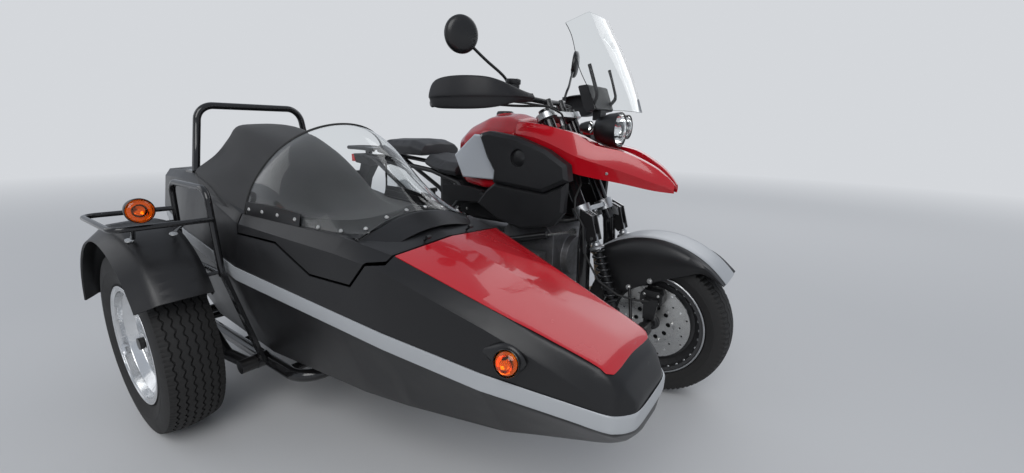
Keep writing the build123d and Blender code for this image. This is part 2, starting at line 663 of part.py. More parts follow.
def stripe_z(x):
    return STRIPE_NOSE_Z + STRIPE_SLOPE * (NOSE_X - x)


def hull_form(grow):
    """Outer form of the body, grown or shrunk by a wall on every side."""
    stations = []
    for i, (x, w1, z1, w2, z2, w3, w5, z5, zc) in enumerate(HULL):
        x += -grow if i == 0 else grow if i == len(HULL) - 1 else 0
        z3 = stripe_z(x)
        half = [(0, zc + grow), (w1 + grow * 0.7, z1 + grow), (w2 + grow, z2), (w3 + grow, z3),
                (w3 - 2 + grow, z3 - STRIPE_HEIGHT), (w5 + grow * 0.7, z5 - grow), (0, z5 - grow)]
        stations.append((x, half))
    return ruled(stations, BODY_Y)


def cowl_outline(gap):
    """Side view of the part that tilts, grown by the panel gap on the body's side."""
    g = gap
    return [(COWL_REAR_X - g, 700 - g), (802 - g * 0.4, 700 - g), (957 - g * 0.4, 634 - g),
            (1113 + g * 0.5, 634 - g), (1170 + g * 0.5, 700 - g), (COWL_FRONT_X + g, 706 - g),
            (COWL_FRONT_X + g, 900), (COWL_REAR_X - g, 900)]


SCREEN = [(560, 270, 752, 262), (SCREEN_TOP_X, 252, 750, SCREEN_TOP_Z - 750), (950, 232, 746, 140), (1098, 216, 742, 34)]


def screen_form(inset):
    """Stations (x, half width, base z, rise), each one arc over a low box."""
    wires = []
    for x, w, z0, rise in SCREEN:
        w, rise = w - inset, rise - inset
        foot = z0 - 40
        edges = [Edge.make_line(Vector(x, BODY_Y + w, foot), Vector(x, BODY_Y - w, foot)),
                 Edge.make_line(Vector(x, BODY_Y - w, foot), Vector(x, BODY_Y - w, z0)),
                 Edge.make_three_point_arc(Vector(x, BODY_Y - w, z0), Vector(x, BODY_Y, z0 + rise),
                                           Vector(x, BODY_Y + w, z0)),
                 Edge.make_line(Vector(x, BODY_Y + w, z0), Vector(x, BODY_Y + w, foot))]
        wires.append(Wire(edges))
    return Solid.make_loft(wires, True)


def screen_rear_cut():
    """Everything behind the leaning rear edge of the screen."""
    return prism([(400, 600), (582, 700), (608, 752), (SCREEN_TOP_X, SCREEN_TOP_Z + 2),
                  (SCREEN_TOP_X + 40, SCREEN_TOP_Z + 60), (400, SCREEN_TOP_Z + 60)], -1400, -200)


def lid_outline(gap):
    """Plan of the boot lid."""
    g = gap
    return [(TAIL_X + 14 - g, BODY_Y - 168 - g), (LID_FRONT_X + g, BODY_Y - 200 - g),
            (LID_FRONT_X + g, BODY_Y + 200 + g), (TAIL_X + 14 - g, BODY_Y + 168 + g)]


def hinge_eye(axis, offset, half, foot):
    """Knuckle on a hinge line at (x, z), with the leaf that ties it to its panel."""
    x, z = axis
    y = BODY_Y + offset
    barrel = rod((x, y - half / 2, z), (x, y + half / 2, z), 5)
    return barrel + rod((x, y, z), (foot[0], y, foot[1]), 3.5)


COWL_HINGE = (1221, 741)
LID_HINGE = (104, 870)


def sidecar_pieces():
    outer, inner, proud = hull_form(0), hull_form(-BODY_WALL), hull_form(SKIN)
    wall = outer - inner
    cowl_cut = prism(cowl_outline(PANEL_GAP), -1400, -200)
    cockpit = slab([(196, BODY_Y - 196), (596, BODY_Y - 240), (1190, BODY_Y - 160), (1190, BODY_Y + 160),
                    (596, BODY_Y + 240), (196, BODY_Y + 196)], 690, 1200)
    lid_cut = slab(lid_outline(PANEL_GAP), 780, 900)
    middle = hull_form(-BODY_WALL / 2)
    bulkhead = middle & block(172, 178, -1400, -200, 200, 846)
    dash = joined(middle & block(1000, 1006, -1400, -200, 540, 618), block(1000, 1006, BODY_Y - 205, BODY_Y + 205, 600, 728))
    hull = joined(wall - cowl_cut - cockpit - lid_cut, bulkhead, dash)
    cowl_zone = prism(cowl_outline(0), -1400, -200)
    opening = slab([(500, BODY_Y - 262), (610, BODY_Y - 256), (1050, BODY_Y - 208), (1050, BODY_Y + 208),
                    (610, BODY_Y + 256), (500, BODY_Y + 262)], 720, 1200)
    rim_ring = (screen_form(SCREEN_WALL + 0.3) - screen_form(SCREEN_WALL + 3.3) - screen_rear_cut())
    rim_ring = (rim_ring & (Pos(0, 0, 24) * outer)) - Pos(0, 0, -BODY_WALL) * outer
    cowl = joined((wall & cowl_zone) - opening, rim_ring)
    for side in (-1, 1):
        hull = hull + hinge_eye(COWL_HINGE, side * 60, 14, (COWL_HINGE[0] + 9, COWL_HINGE[1] - 14))
        cowl = cowl + hinge_eye(COWL_HINGE, side * 84, 14, (COWL_HINGE[0] - 16, COWL_HINGE[1] - 12))
    screen = (screen_form(0) - screen_form(SCREEN_WALL) - screen_rear_cut()) - hull_form(0.3)
    lid = wall & slab(lid_outline(0), 780, 900)
    for side in (-1, 1):
        hull = hull + hinge_eye(LID_HINGE, side * 120, 20, (LID_HINGE[0] + 14, LID_HINGE[1] - 17))
        lid = lid + hinge_eye(LID_HINGE, side * 150, 20, (LID_HINGE[0] - 14, LID_HINGE[1] - 17))
    bonnet = (proud - hull_form(0.2)) & slab([(COWL_FRONT_X + 10, BODY_Y - 200), (1752, BODY_Y - 118),
                                            (1764, BODY_Y - 104), (1764, BODY_Y + 104), (1752, BODY_Y + 118),
                                            (COWL_FRONT_X + 10, BODY_Y + 200)], 540, 900)
    z_rear = stripe_z(TAIL_X)
    band = prism([(TAIL_X + 40, z_rear - 4), (NOSE_X + 30, STRIPE_NOSE_Z), (NOSE_X + 30, STRIPE_NOSE_Z - STRIPE_HEIGHT),
                  (TAIL_X + 40, z_rear - 4 - STRIPE_HEIGHT)], -1400, -200)
    stripe = (proud - hull_form(0.2)) & band
    pieces = {"sidecar_hull": hull, "cowl": cowl, "sidecar_screen": screen, "boot_lid": lid,
              "bonnet_panel": bonnet, "side_stripe": stripe}
    return {name: largest(piece) for name, piece in pieces.items()}


def largest(shape):
    """The piece without slivers that a cut can leave beside it."""
    solids = sorted(shape.solids(), key=lambda s: s.volume)
    return Compound([s for s in solids if s.volume > 0.05 * solids[-1].volume])


# Columns: x, foot half width and z, side half width and z, shoulder half width and z, crown z
COVER = [(186, 228, 868, 150, 884, 84, 900, 906),
         (236, 232, 856, 140, 905, 92, 992, 1018),
         (330, 240, 836, 150, 898, 94, 984, 1014),
         (560, 256, 772, 172, 862, 104, 936, 956),
         (750, 236, 744, 160, 766, 84, 786, 792),
         (1000, 204, 730, 140, 738, 70, 742, 744)]


def tonneau_cover():
    """Fabric stretched from the seat back down to the dash."""
    def form(cut, drop):
        return ruled([(x, [(0, zc - cut), (w2 - cut, z2 - cut), (w1 - cut, z1 - cut), (w0 - cut, z0 - cut),
                           (w0 - cut, z0 - 22 - drop), (0, z0 - 22 - drop)])
                      for x, w0, z0, w1, z1, w2, z2, zc in COVER], BODY_Y)
    skin = form(0, 0) - form(COVER_WALL, 10)
    return Compound([max(skin.solids(), key=lambda s: s.volume)]) - hull_form(0.4)


def seat_back():
    """Moulded back and headrest under the cover."""
    return ruled([(x, [(0, zt), (w2, zt - 20), (w2 + 18, 880), (w1, 800), (w1, z0), (0, z0)])
                  for x, w1, w2, z0, zt in ((226, 172, 48, 282, 966), (262, 176, 52, 282, 980),
                                            (300, 168, 42, 282, 940))], BODY_Y)


def roll_bar():
    foot_w, top_w = 226, 190
    route = [(150, BODY_Y - foot_w, 852), (150, BODY_Y - top_w, 1090), (150, BODY_Y + top_w, 1090),
             (150, BODY_Y + foot_w, 852)]
    feet = [block(120, 180, BODY_Y + side * foot_w - 22, BODY_Y + side * foot_w + 22, 850, 858) for side in (-1, 1)]
    return joined(pipe(route, ROLL_BAR_R, 60), *feet) - hull_form(0.2)


# Sidecar running gear


def hull_floor(x):
    """Height of the underside of the body at x."""
    for low, high in zip(HULL, HULL[1:]):
        if low[0] <= x <= high[0]:
            share = (x - low[0]) / (high[0] - low[0])
            return low[7] + share * (high[7] - low[7])
    return HULL[0][7]


def sidecar_frame():
    rail = pipe([(-150, INNER_RAIL_Y, RAIL_Z), (-150, OUTER_RAIL_Y, RAIL_Z), (745, OUTER_RAIL_Y, RAIL_Z),
                 (745, INNER_RAIL_Y, RAIL_Z)], RAIL_R, 80)
    inner = rod((-176, INNER_RAIL_Y, RAIL_Z), (1104, INNER_RAIL_Y, RAIL_Z), RAIL_R + 2)
    across = [rod((x, INNER_RAIL_Y, RAIL_Z), (x, y, RAIL_Z), r) for x, y, r in
              ((1080, -892, 15), (300, OUTER_RAIL_Y, 17), (-60, OUTER_RAIL_Y, 15), (640, OUTER_RAIL_Y, 15))]
    struts = [rod((740, INNER_RAIL_Y, RAIL_Z + 4), (960, -132, 286), 15),
              rod((330, INNER_RAIL_Y, RAIL_Z + 4), (470, -164, 374), 13),
              rod((580, INNER_RAIL_Y, RAIL_Z + 8), (655, -170, 660), 13),
              rod((120, INNER_RAIL_Y, RAIL_Z + 8), (436, -164, 458), 13)]
    body = hull_form(0.3)
    posts = [rod((x, y, RAIL_Z), (x, y, hull_floor(x) + 8), 10) - body for x, y in
             ((-60, -700), (-60, -940), (640, -930), (640, -700), (1080, -760), (1080, -880), (300, -700), (300, -930))]
    lug = rod((505, OUTER_RAIL_Y, RAIL_Z + 8), (505, -1071.8, RAIL_Z + 8), 26)
    return joined(rail, inner, *across, *struts, *posts, lug)


def sidecar_swingarm():
    """Trailing arm with its stub axle and spring unit."""
    arm = pipe([(505, -1092, RAIL_Z + 8), (400, -1120, 225), (SIDECAR_LEAD, -1130, SIDECAR_TYRE_R)], 20, 60)
    pivot = rod((505, -1072, RAIL_Z + 8), (505, -1124, RAIL_Z + 8), 24)
    axle = rod((SIDECAR_LEAD, -1112, SIDECAR_TYRE_R), (SIDECAR_LEAD, YS - 52, SIDECAR_TYRE_R), AXLE_R)
    boss = rod((SIDECAR_LEAD, -1118, SIDECAR_TYRE_R), (SIDECAR_LEAD, -1164, SIDECAR_TYRE_R), 34)
    shock = joined(rod((300, -1143, 340), (330, -1143, 556), 9), rod((306, -1143, 380), (324, -1143, 516), 19))
    nut = rod((SIDECAR_LEAD, YS - HUB_LENGTH / 2 - 2, SIDECAR_TYRE_R),
              (SIDECAR_LEAD, YS - HUB_LENGTH / 2 - 14, SIDECAR_TYRE_R), 20)
    return joined(arm, pivot, axle, boss, shock, nut)


def sidecar_mudguard():
    """Arched guard with an inner lip and a stepped outer skirt."""
    top = [(342, 1192), (368, 1194), (GUARD_R + 2, 1215), (GUARD_R + 4, 1270), (GUARD_R, 1330), (GUARD_R - 6, 1342),
           (GUARD_R - 14, 1350), (332, 1384)]
    under = [(r - GUARD_WALL - 1, y + (5 if y < 1200 else -3)) for r, y in top]
    under[0] = (342, 1197)
    under[-1] = (328, 1379)
    outline = [(r, -y) for r, y in top] + [(r, -y) for r, y in reversed(under)]
    wire = Wire.make_polygon([Vector(r, y, 0) for r, y in outline], close=True)
    face = Rot(0, -31, 0) * Face(wire)
    arch = revolve(face, Axis((0, 0, 0), (0, -1, 0)), revolution_arc=138)
    return Pos(SIDECAR_LEAD - 5, 0, SIDECAR_TYRE_R + GUARD_LIFT) * arch


def guard_rack():
    """Loop bar beside the body, and the rack that it carries over the mudguard."""
    loop = pipe([(556, LOOP_Y, 560), (528, LOOP_Y, 832), (238, LOOP_Y, 832), (236, LOOP_Y, 560)], LOOP_R, 44)
    rail = rod((226, LOOP_Y, 566), (570, LOOP_Y, 566), 9)
    strut = Pos(556, LOOP_Y, 572) * Rot(14, 0, 0) * Pos(0, 0, -178) * Box(30, 12, 350)
    rack = pipe([(548, LOOP_Y, RACK_Z), (520, -1385, RACK_Z), (205, -1385, RACK_Z), (238, LOOP_Y, RACK_Z)], RACK_R, 34)
    posts = [rod((430, -1322, 696), (524, -1340, RACK_Z), 7), rod((432, -1216, 704), (540, -1222, RACK_Z), 7)]
    tabs = [rod((x, LOOP_Y, z), (x, -1191.6, z), 6) for x, z in ((549, 572), (237, 694))]
    return joined(loop, rail, rack, strut, *posts, *tabs)


DAMPER_EYE = (1262, -166, 628)
DAMPER_REAR = (943, -190, 545)
BARREL_START = 24
BARREL_END = 215
ROD_INNER_END = 124


def damper_pieces():
    """Steering damper: cylinder pinned to the engine plate, rod towards the fork clamp."""
    eye, rear = Vector(*DAMPER_EYE), Vector(*DAMPER_REAR)
    run = (eye - rear).normalized()
    start = rear + run * BARREL_START
    end = rear + run * BARREL_END
    barrel = rod(tuple(start), tuple(end), 16) - rod(tuple(start + run * 8), tuple(end + run * 2), 5.05)
    knuckle = joined(rod(tuple(rear), tuple(start), 9), rod((rear.X, -150.2, rear.Z), (rear.X, -198, rear.Z), 9))
    shaft = rod(tuple(rear + run * ROD_INNER_END), tuple(eye), 5)
    ring = rod((eye.X, eye.Y - 10, eye.Z), (eye.X, eye.Y + 10, eye.Z), 13)
    return {"damper_cylinder": joined(barrel, knuckle), "damper_rod": joined(shaft, ring)}


nodes = {}
nodes.update(front_wheel_pieces())
nodes.update(rear_wheel_pieces())
nodes.update(sidecar_wheel_pieces())
for maker in (bike_frame, wishbone, engine_block, cylinders, exhaust, swingarm, footpegs, fuel_tank, side_covers,
              side_trims, beak, headlamp, indicators, bike_screen, instrument_cluster, rider_seat, pillion_seat,
              rear_rack, rear_mudguard, tail_lamps, fork_legs, fork_clamps, leading_link, front_shocks,
              front_mudguard, brake_caliper, handlebar, grips, hand_guards, mirrors, brake_hose, tonneau_cover,
              seat_back, roll_bar, sidecar_frame, sidecar_swingarm, sidecar_mudguard, guard_rack):
    nodes[maker.__name__] = maker()
nodes.update(sidecar_pieces())
nodes.update(damper_pieces())

# Origin: under the middle of the whole outfit, on the road
whole = Compound([s for piece in nodes.values() for s in piece.solids()]).bounding_box()
shift = Pos(-(whole.min.X + whole.max.X) / 2, -(whole.min.Y + whole.max.Y) / 2, -whole.min.Z)
for name, piece in nodes.items():
    export_step(shift * Compound(piece.solids()), f"parts/{name}.step")
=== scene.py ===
"""Looks of a sidecar motorcycle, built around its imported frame."""

import contextlib
import json
import math

import bmesh
import bpy
from bpy.props import FloatProperty, FloatVectorProperty, PointerProperty
from mathutils import Matrix, Vector, noise


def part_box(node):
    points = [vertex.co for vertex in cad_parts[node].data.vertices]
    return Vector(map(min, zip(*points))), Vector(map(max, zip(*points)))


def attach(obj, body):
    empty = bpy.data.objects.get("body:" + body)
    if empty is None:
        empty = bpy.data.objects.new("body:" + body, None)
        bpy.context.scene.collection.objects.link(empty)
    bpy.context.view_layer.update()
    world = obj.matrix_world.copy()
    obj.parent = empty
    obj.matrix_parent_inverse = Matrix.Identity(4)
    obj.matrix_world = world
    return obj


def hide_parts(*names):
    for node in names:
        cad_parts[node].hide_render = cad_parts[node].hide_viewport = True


bl_info = {
    "name": "Sidecar outfit looks",
    "version": (1, 0, 0),
    "blender": (4, 5, 0),
    "location": "3D View > Sidebar > Outfit",
    "description": "Builds the visible pieces and finishes of a sidecar motorcycle around its frame",
    "category": "Object",
}

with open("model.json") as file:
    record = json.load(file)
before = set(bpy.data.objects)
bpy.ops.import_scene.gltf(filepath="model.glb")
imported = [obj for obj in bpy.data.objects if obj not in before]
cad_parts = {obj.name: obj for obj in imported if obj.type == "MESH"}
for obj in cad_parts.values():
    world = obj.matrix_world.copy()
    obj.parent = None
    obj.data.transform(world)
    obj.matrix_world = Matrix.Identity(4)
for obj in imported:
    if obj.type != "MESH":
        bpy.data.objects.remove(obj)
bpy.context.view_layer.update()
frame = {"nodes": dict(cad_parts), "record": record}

# The drawing counts millimetres from the rear axle, the motorcycle's middle and the road
WHEELBASE = 1.570
LOW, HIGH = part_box("front_tyre")
SHIFT = Vector(((LOW.x + HIGH.x) / 2 - WHEELBASE, (LOW.y + HIGH.y) / 2, 0))
BODY_Y = -817
FRONT_AXLE = (1570, 0, 285)
REAR_AXLE = (0, 0, 314)
SIDECAR_AXLE = (290, -1270, 314)


def at(x, y, z):
    """Drawing millimetres to the frame's metres."""
    return Vector((x, y, z)) / 1000 + SHIFT


# Settings


class PaintSettings(bpy.types.PropertyGroup):
    """Colours of the painted and moulded parts"""

    red: FloatVectorProperty(name="Red paint", description="Bonnet, tank and beak", subtype="COLOR", size=3,
                             min=0, max=1, default=(0.50, 0.004, 0.012))
    body_black: FloatVectorProperty(name="Body black", description="Sidecar body and mudguards",
                                    subtype="COLOR", size=3, min=0, max=1, default=(0.0075, 0.0075, 0.0085))
    silver: FloatVectorProperty(name="Silver", description="Stripe and light panels", subtype="COLOR", size=3,
                                min=0, max=1, default=(0.46, 0.475, 0.49))
    plastic: FloatVectorProperty(name="Moulded plastic", description="Side covers and guards",
                                 subtype="COLOR", size=3, min=0, max=1, default=(0.012, 0.012, 0.0135))


class TyreSettings(bpy.types.PropertyGroup):
    """Tread of the three tyres"""

    groove_depth: FloatProperty(name="Groove depth", description="Depth of the grooves", default=0.006,
                                min=0.001, max=0.012, unit="LENGTH")


class StageSettings(bpy.types.PropertyGroup):
    """Camera and light"""

    lens: FloatProperty(name="Lens", description="Focal length on a 36 mm sensor", default=15.32, min=8,
                        max=200)
    key_power: FloatProperty(name="Key light", description="Power of the large soft lamp", default=95, min=0,
                             max=2000, unit="POWER")
    floor_grey: FloatProperty(name="Floor", description="Brightness of the floor", default=0.62, min=0, max=1)


# Mesh helpers

# Right and left
SIDES = (-1, 1)
# Distances in metres within which the vertices of a built surface and of a CAD node are merged
WELD, NODE_WELD = 1e-6, 2e-5
FLAT_ANGLE = math.radians(0.6)


def coated(made, material):
    """The object with one material alone."""
    made.data.materials.clear()
    made.data.materials.append(material)
    return made


def linked(name, data, material=None):
    made = bpy.data.objects.new(name, data)
    bpy.context.scene.collection.objects.link(made)
    return coated(made, material) if material else made


def smoothed(mesh, angle):
    """Shades a mesh smooth, with sharp edges above an angle in degrees."""
    for face in mesh.polygons:
        face.use_smooth = True
    if angle < 180:
        mesh.set_sharp_from_angle(angle=math.radians(angle))


@contextlib.contextmanager
def edited(mesh):
    """The mesh opened for editing and written back afterwards."""
    shape = bmesh.new()
    shape.from_mesh(mesh)
    yield shape
    shape.to_mesh(mesh)
    shape.free()


def placed_rows(rows):
    """Rows of drawing points as rows of places in the frame."""
    return [[at(*p) for p in row] for row in rows]


def from_rows(name, rows, material, round_rows=False, round_points=False, caps=False, angle=35):
    """Surface through rows of points, closed round each row, along the rows or with end caps where asked."""
    count, width = len(rows), len(rows[0])
    mesh = bpy.data.meshes.new(name)
    faces = []
    for i in range(count if round_rows else count - 1):
        for j in range(width if round_points else width - 1):
            a, b = i * width, (i + 1) % count * width
            k = (j + 1) % width
            faces.append((a + j, b + j, b + k, a + k))
    if caps:
        faces.append(tuple(range(width)))
        faces.append(tuple((count - 1) * width + j for j in reversed(range(width))))
    mesh.from_pydata([tuple(p) for row in rows for p in row], [], faces)
    with edited(mesh) as shape:
        bmesh.ops.remove_doubles(shape, verts=shape.verts, dist=WELD)
        bmesh.ops.recalc_face_normals(shape, faces=shape.faces)
    smoothed(mesh, angle)
    return linked(name, mesh, material)


def plain(made):
    """The object with its modifiers applied, as a plain mesh."""
    graph = bpy.context.evaluated_depsgraph_get()
    mesh = bpy.data.meshes.new_from_object(made.evaluated_get(graph), depsgraph=graph)
    if made.type != "MESH":
        turned = linked(made.name + ".mesh", mesh)
        name = made.name
        bpy.data.objects.remove(made)
        turned.name = name
        return turned
    made.modifiers.clear()
    made.data = mesh
    return made


def modified(made, *steps):
    """Adds modifiers given as (type, {setting: value}) and applies them."""
    for kind, settings in steps:
        added = made.modifiers.new(kind.title(), kind)
        for key, value in settings.items():
            setattr(added, key, value)
    return plain(made)


def node_copy(node, name, material, flat=False):
    """Copy of a CAD node with merged vertices and, where asked, its flat faces made whole."""
    mesh = frame["nodes"][node].data.copy()
    with edited(mesh) as shape:
        bmesh.ops.remove_doubles(shape, verts=shape.verts, dist=NODE_WELD)
        if flat:
            bmesh.ops.dissolve_limit(shape, angle_limit=FLAT_ANGLE, verts=shape.verts, edges=shape.edges)
    return linked(name, mesh, material)


def refined(node, finish, width=1.0, segments=2, angle=28):
    """Copy of a CAD node with its edges rounded by a width in millimetres."""
    made = node_copy(node, node + "_finish", FINISH[finish], flat=True)
    smoothed(made.data, angle + 4)
    if width:
        made = modified(made, ("BEVEL", {"width": width / 1000, "segments": segments, "limit_method": "ANGLE",
                                         "angle_limit": math.radians(angle), "use_clamp_overlap": True,
                                         "harden_normals": True}))
    return made


def tube(name, points, radius, material):
    """Round tube along a smooth NURBS line with the given control points, in drawing millimetres."""
    curve = bpy.data.curves.new(name, "CURVE")
    curve.dimensions = "3D"
    curve.bevel_depth = radius / 1000
    curve.bevel_resolution = 4
    curve.resolution_u = 6
    curve.use_fill_caps = True
    spline = curve.splines.new("NURBS")
    spline.points.add(len(points) - 1)
    for point, place in zip(spline.points, points):
        point.co = (*at(*place), 1)
    spline.order_u = 3
    spline.use_endpoint_u = True
    made = coated(plain(linked(name, curve)), material)
    smoothed(made.data, 60)
    return made


def merged(name, parts):
    """One object out of several, keeping each part's material."""
    with bpy.context.temp_override(active_object=parts[0], selected_editable_objects=parts):
        bpy.ops.object.join()
    parts[0].name = name
    return parts[0]


def walled(made, thickness, offset=-1.0, angle=40):
    """An open skin given a wall in millimetres, with crisp rims."""
    made = modified(made, ("SOLIDIFY", {"thickness": thickness / 1000, "offset": offset}))
    smoothed(made.data, angle)
    return made


def repainted(made, finish, test):
    """Gives another finish to the faces whose middle, in drawing millimetres, passes the test."""
    made.data.materials.append(FINISH[finish])
    for face in made.data.polygons:
        if test(*((face.center - SHIFT) * 1000)):
            face.material_index = len(made.data.materials) - 1
    return made


def both_sides(name, build):
    """One object out of a builder called for the right (-1) and the left (1) side."""
    return merged(name, [build(side) for side in SIDES])


def on_side(side, places):
    """Places given for the left side, on either side."""
    return [Vector((x, side * y, z)) for x, y, z in places]


def pairs(*rows):
    """Spots on both sides out of rows of place and facing for the left side."""
    return [((x, side * y, z), (out_x, side * out_y, out_z)) for side in SIDES
            for x, y, z, out_x, out_y, out_z in rows]


def placed(made, body, replaces=()):
    """Hands a finished piece to its body."""
    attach(made, body)
    if replaces:
        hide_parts(*replaces)
    return made


# Shader helpers

FLOAT, COLOUR, VECTOR = "NodeSocketFloat", "NodeSocketColor", "NodeSocketVector"
OBJECT, MATERIAL = "NodeSocketObject", "NodeSocketMaterial"
COUNT, GEOMETRY = "NodeSocketInt", "NodeSocketGeometry"


class Shade:
    """Small builder for the nodes of a material or a group."""

    def __init__(self, tree):
        self.tree = tree

    def fill(self, sockets, values):
        """Sets each input to the value given for it, or links it to the output given for it."""
        for key, value in values.items():
            if hasattr(value, "is_linked"):
                self.tree.links.new(value, sockets[key])
            else:
                sockets[key].default_value = value

    def node(self, kind, inputs=None, **settings):
        made = self.tree.nodes.new(kind)
        for key, value in settings.items():
            setattr(made, key, value)
        self.fill(made.inputs, inputs or {})
        return made

    def out(self, kind, inputs=None, which=0, **settings):
        """One output of a new node."""
        return self.node(kind, inputs, **settings).outputs[which]

    def math(self, operation, a, b=0.5, clamp=False):
        return self.out("ShaderNodeMath", {0: a, 1: b}, operation=operation, use_clamp=clamp)

    def mix(self, share, a, b):
        return self.out("ShaderNodeMix", {0: share, 6: a, 7: b}, 2, data_type="RGBA")

    def noise(self, where, scale, detail, rough):
        values = {"Vector": where, "Scale": scale, "Detail": detail, "Roughness": rough}
        return self.out("ShaderNodeTexNoise", values, "Fac")

    def band(self, value, low, high, to_low=0.0, to_high=1.0):
        values = {"Value": value, "From Min": low, "From Max": high, "To Min": to_low, "To Max": to_high}
        return self.out("ShaderNodeMapRange", values, "Result", clamp=True)

    def bump(self, height, distance, strength):
        return self.out("ShaderNodeBump", {"Height": height, "Distance": distance, "Strength": strength})


def new_group(kind, name, inputs, outputs):
    """Empty node group with its sockets: (label, type, default) in, (label, type) out."""
    group = bpy.data.node_groups.new(name, kind)
    for label, socket_type, value in inputs:
        socket = group.interface.new_socket(label, in_out="INPUT", socket_type=socket_type)
        if value is not None:
            socket.default_value = value
    for label, socket_type in outputs:
        group.interface.new_socket(label, in_out="OUTPUT", socket_type=socket_type)
    shade = Shade(group)
    return shade, shade.node("NodeGroupInput").outputs, shade.node("NodeGroupOutput").inputs


def build_moulded():
    """Moulded or painted surface: fine grain, cloudy gloss, and dust that thickens towards the road."""
    shade, given, result = new_group(
        "ShaderNodeTree", "Moulded surface",
        [("Colour", COLOUR, (0.1, 0.1, 0.1, 1)), ("Dust colour", COLOUR, (0.20, 0.18, 0.155, 1)),
         ("Grain scale", FLOAT, 900.0), ("Grain depth", FLOAT, 0.2), ("Rough low", FLOAT, 0.3),
         ("Rough high", FLOAT, 0.4), ("Dust", FLOAT, 0.1)],
        [("Colour", COLOUR), ("Roughness", FLOAT), ("Normal", VECTOR)])
    where = shade.out("ShaderNodeTexCoord", which="Object")
    height = shade.out("ShaderNodeSeparateXYZ", {0: where}, "Z")
    cloud = shade.noise(where, 7.0, 5.0, 0.62)
    grain = shade.noise(where, given["Grain scale"], 2.0, 0.5)
    speck = shade.noise(where, 160.0, 3.0, 0.7)
    low = shade.math("MULTIPLY", shade.band(height, 0.05, 0.95, 1.0, 0.0), 1.3)
    patch = shade.math("MULTIPLY", shade.band(cloud, 0.35, 0.75), shade.band(speck, 0.3, 0.8))
    dirt = shade.math("MULTIPLY", shade.math("ADD", low, patch), given["Dust"], clamp=True)
    rough = shade.band(cloud, 0.3, 0.7, given["Rough low"], given["Rough high"])
    shade.fill(result, {
        "Colour": shade.mix(dirt, given["Colour"], given["Dust colour"]),
        "Roughness": shade.math("ADD", rough, shade.math("MULTIPLY", dirt, 0.6), clamp=True),
        "Normal": shade.bump(grain, 0.0006, given["Grain depth"])})


def build_weave():
    """Plain weave on the piece's own UV map, with cloudy fading."""
    shade, given, result = new_group(
        "ShaderNodeTree", "Weave",
        [("Colour", COLOUR, (0.05, 0.05, 0.055, 1)), ("Faded colour", COLOUR, (0.09, 0.09, 0.09, 1)),
         ("Threads", FLOAT, 420.0)],
        [("Colour", COLOUR), ("Roughness", FLOAT), ("Height", FLOAT)])
    where = shade.node("ShaderNodeTexCoord").outputs
    parts = shade.node("ShaderNodeSeparateXYZ", {0: where["UV"]}).outputs
    across, along = (shade.math("SINE", shade.math("MULTIPLY", parts[axis], given["Threads"]))
                     for axis in ("X", "Y"))
    raised = shade.band(shade.math("MULTIPLY", across, along), -1.0, 1.0)
    cloud = shade.noise(where["Object"], 9.0, 6.0, 0.65)
    fade = shade.math("MULTIPLY", shade.band(cloud, 0.35, 0.75), 0.8)
    base = shade.mix(fade, given["Colour"], given["Faded colour"])
    shade.fill(result, {
        "Colour": shade.mix(shade.math("MULTIPLY", raised, 0.2), base, (0.008, 0.008, 0.009, 1)),
        "Roughness": shade.band(cloud, 0.3, 0.7, 0.72, 0.9),
        "Height": raised})


def build_brushed():
    """Metal with fine scratches, stains and a warm or cold tint."""
    shade, given, result = new_group(
        "ShaderNodeTree", "Worn metal",
        [("Colour", COLOUR, (0.6, 0.6, 0.6, 1)), ("Stain", COLOUR, (0.3, 0.28, 0.25, 1)),
         ("Stains", FLOAT, 0.3), ("Rough low", FLOAT, 0.2), ("Rough high", FLOAT, 0.4)],
        [("Colour", COLOUR), ("Roughness", FLOAT), ("Height", FLOAT)])
    where = shade.out("ShaderNodeTexCoord", which="Object")
    stretch = shade.out("ShaderNodeMapping", {"Vector": where, "Scale": (9.0, 220.0, 220.0)})
    scratch = shade.noise(stretch, 6.0, 3.0, 0.6)
    cloud = shade.noise(where, 18.0, 6.0, 0.68)
    share = shade.math("MULTIPLY", shade.band(cloud, 0.4, 0.75), given["Stains"])
    rough = shade.band(scratch, 0.3, 0.7, given["Rough low"], given["Rough high"])
    shade.fill(result, {
        "Colour": shade.mix(share, given["Colour"], given["Stain"]),
        "Roughness": shade.math("ADD", rough, shade.math("MULTIPLY", share, 0.3), clamp=True),
        "Height": scratch})


def new_material(name, **sockets):
    """Material with its builder and its Principled BSDF node."""
    material = bpy.data.materials.new(name)
    material.use_nodes = True
    shade = Shade(material.node_tree)
    surface = material.node_tree.nodes["Principled BSDF"]
    shade.fill(surface.inputs, {label.replace("_", " "): value for label, value in sockets.items()})
    return material, shade, surface


def grouped(name, group, given, relief=None, **sockets):
    """Material whose colour, roughness and normal come from a shader group."""
    material, shade, surface = new_material(name, **sockets)
    used = shade.node("ShaderNodeGroup", given, node_tree=bpy.data.node_groups[group]).outputs
    normal = shade.bump(used["Height"], *relief) if relief else used["Normal"]
    shade.fill(surface.inputs, {"Base Color": used["Colour"], "Roughness": used["Roughness"],
                                "Normal": normal})
    return material


def moulded(name, colour, low, high, grain, depth, dust, metallic=0.0, coat=0.0, coat_rough=0.03,
            shine=0.5):
    given = {"Colour": (*colour, 1), "Grain scale": grain, "Grain depth": depth, "Rough low": low,
             "Rough high": high, "Dust": dust}
    return grouped(name, "Moulded surface", given, Metallic=metallic, Coat_Weight=coat,
                   Coat_Roughness=coat_rough, Specular_IOR_Level=shine)


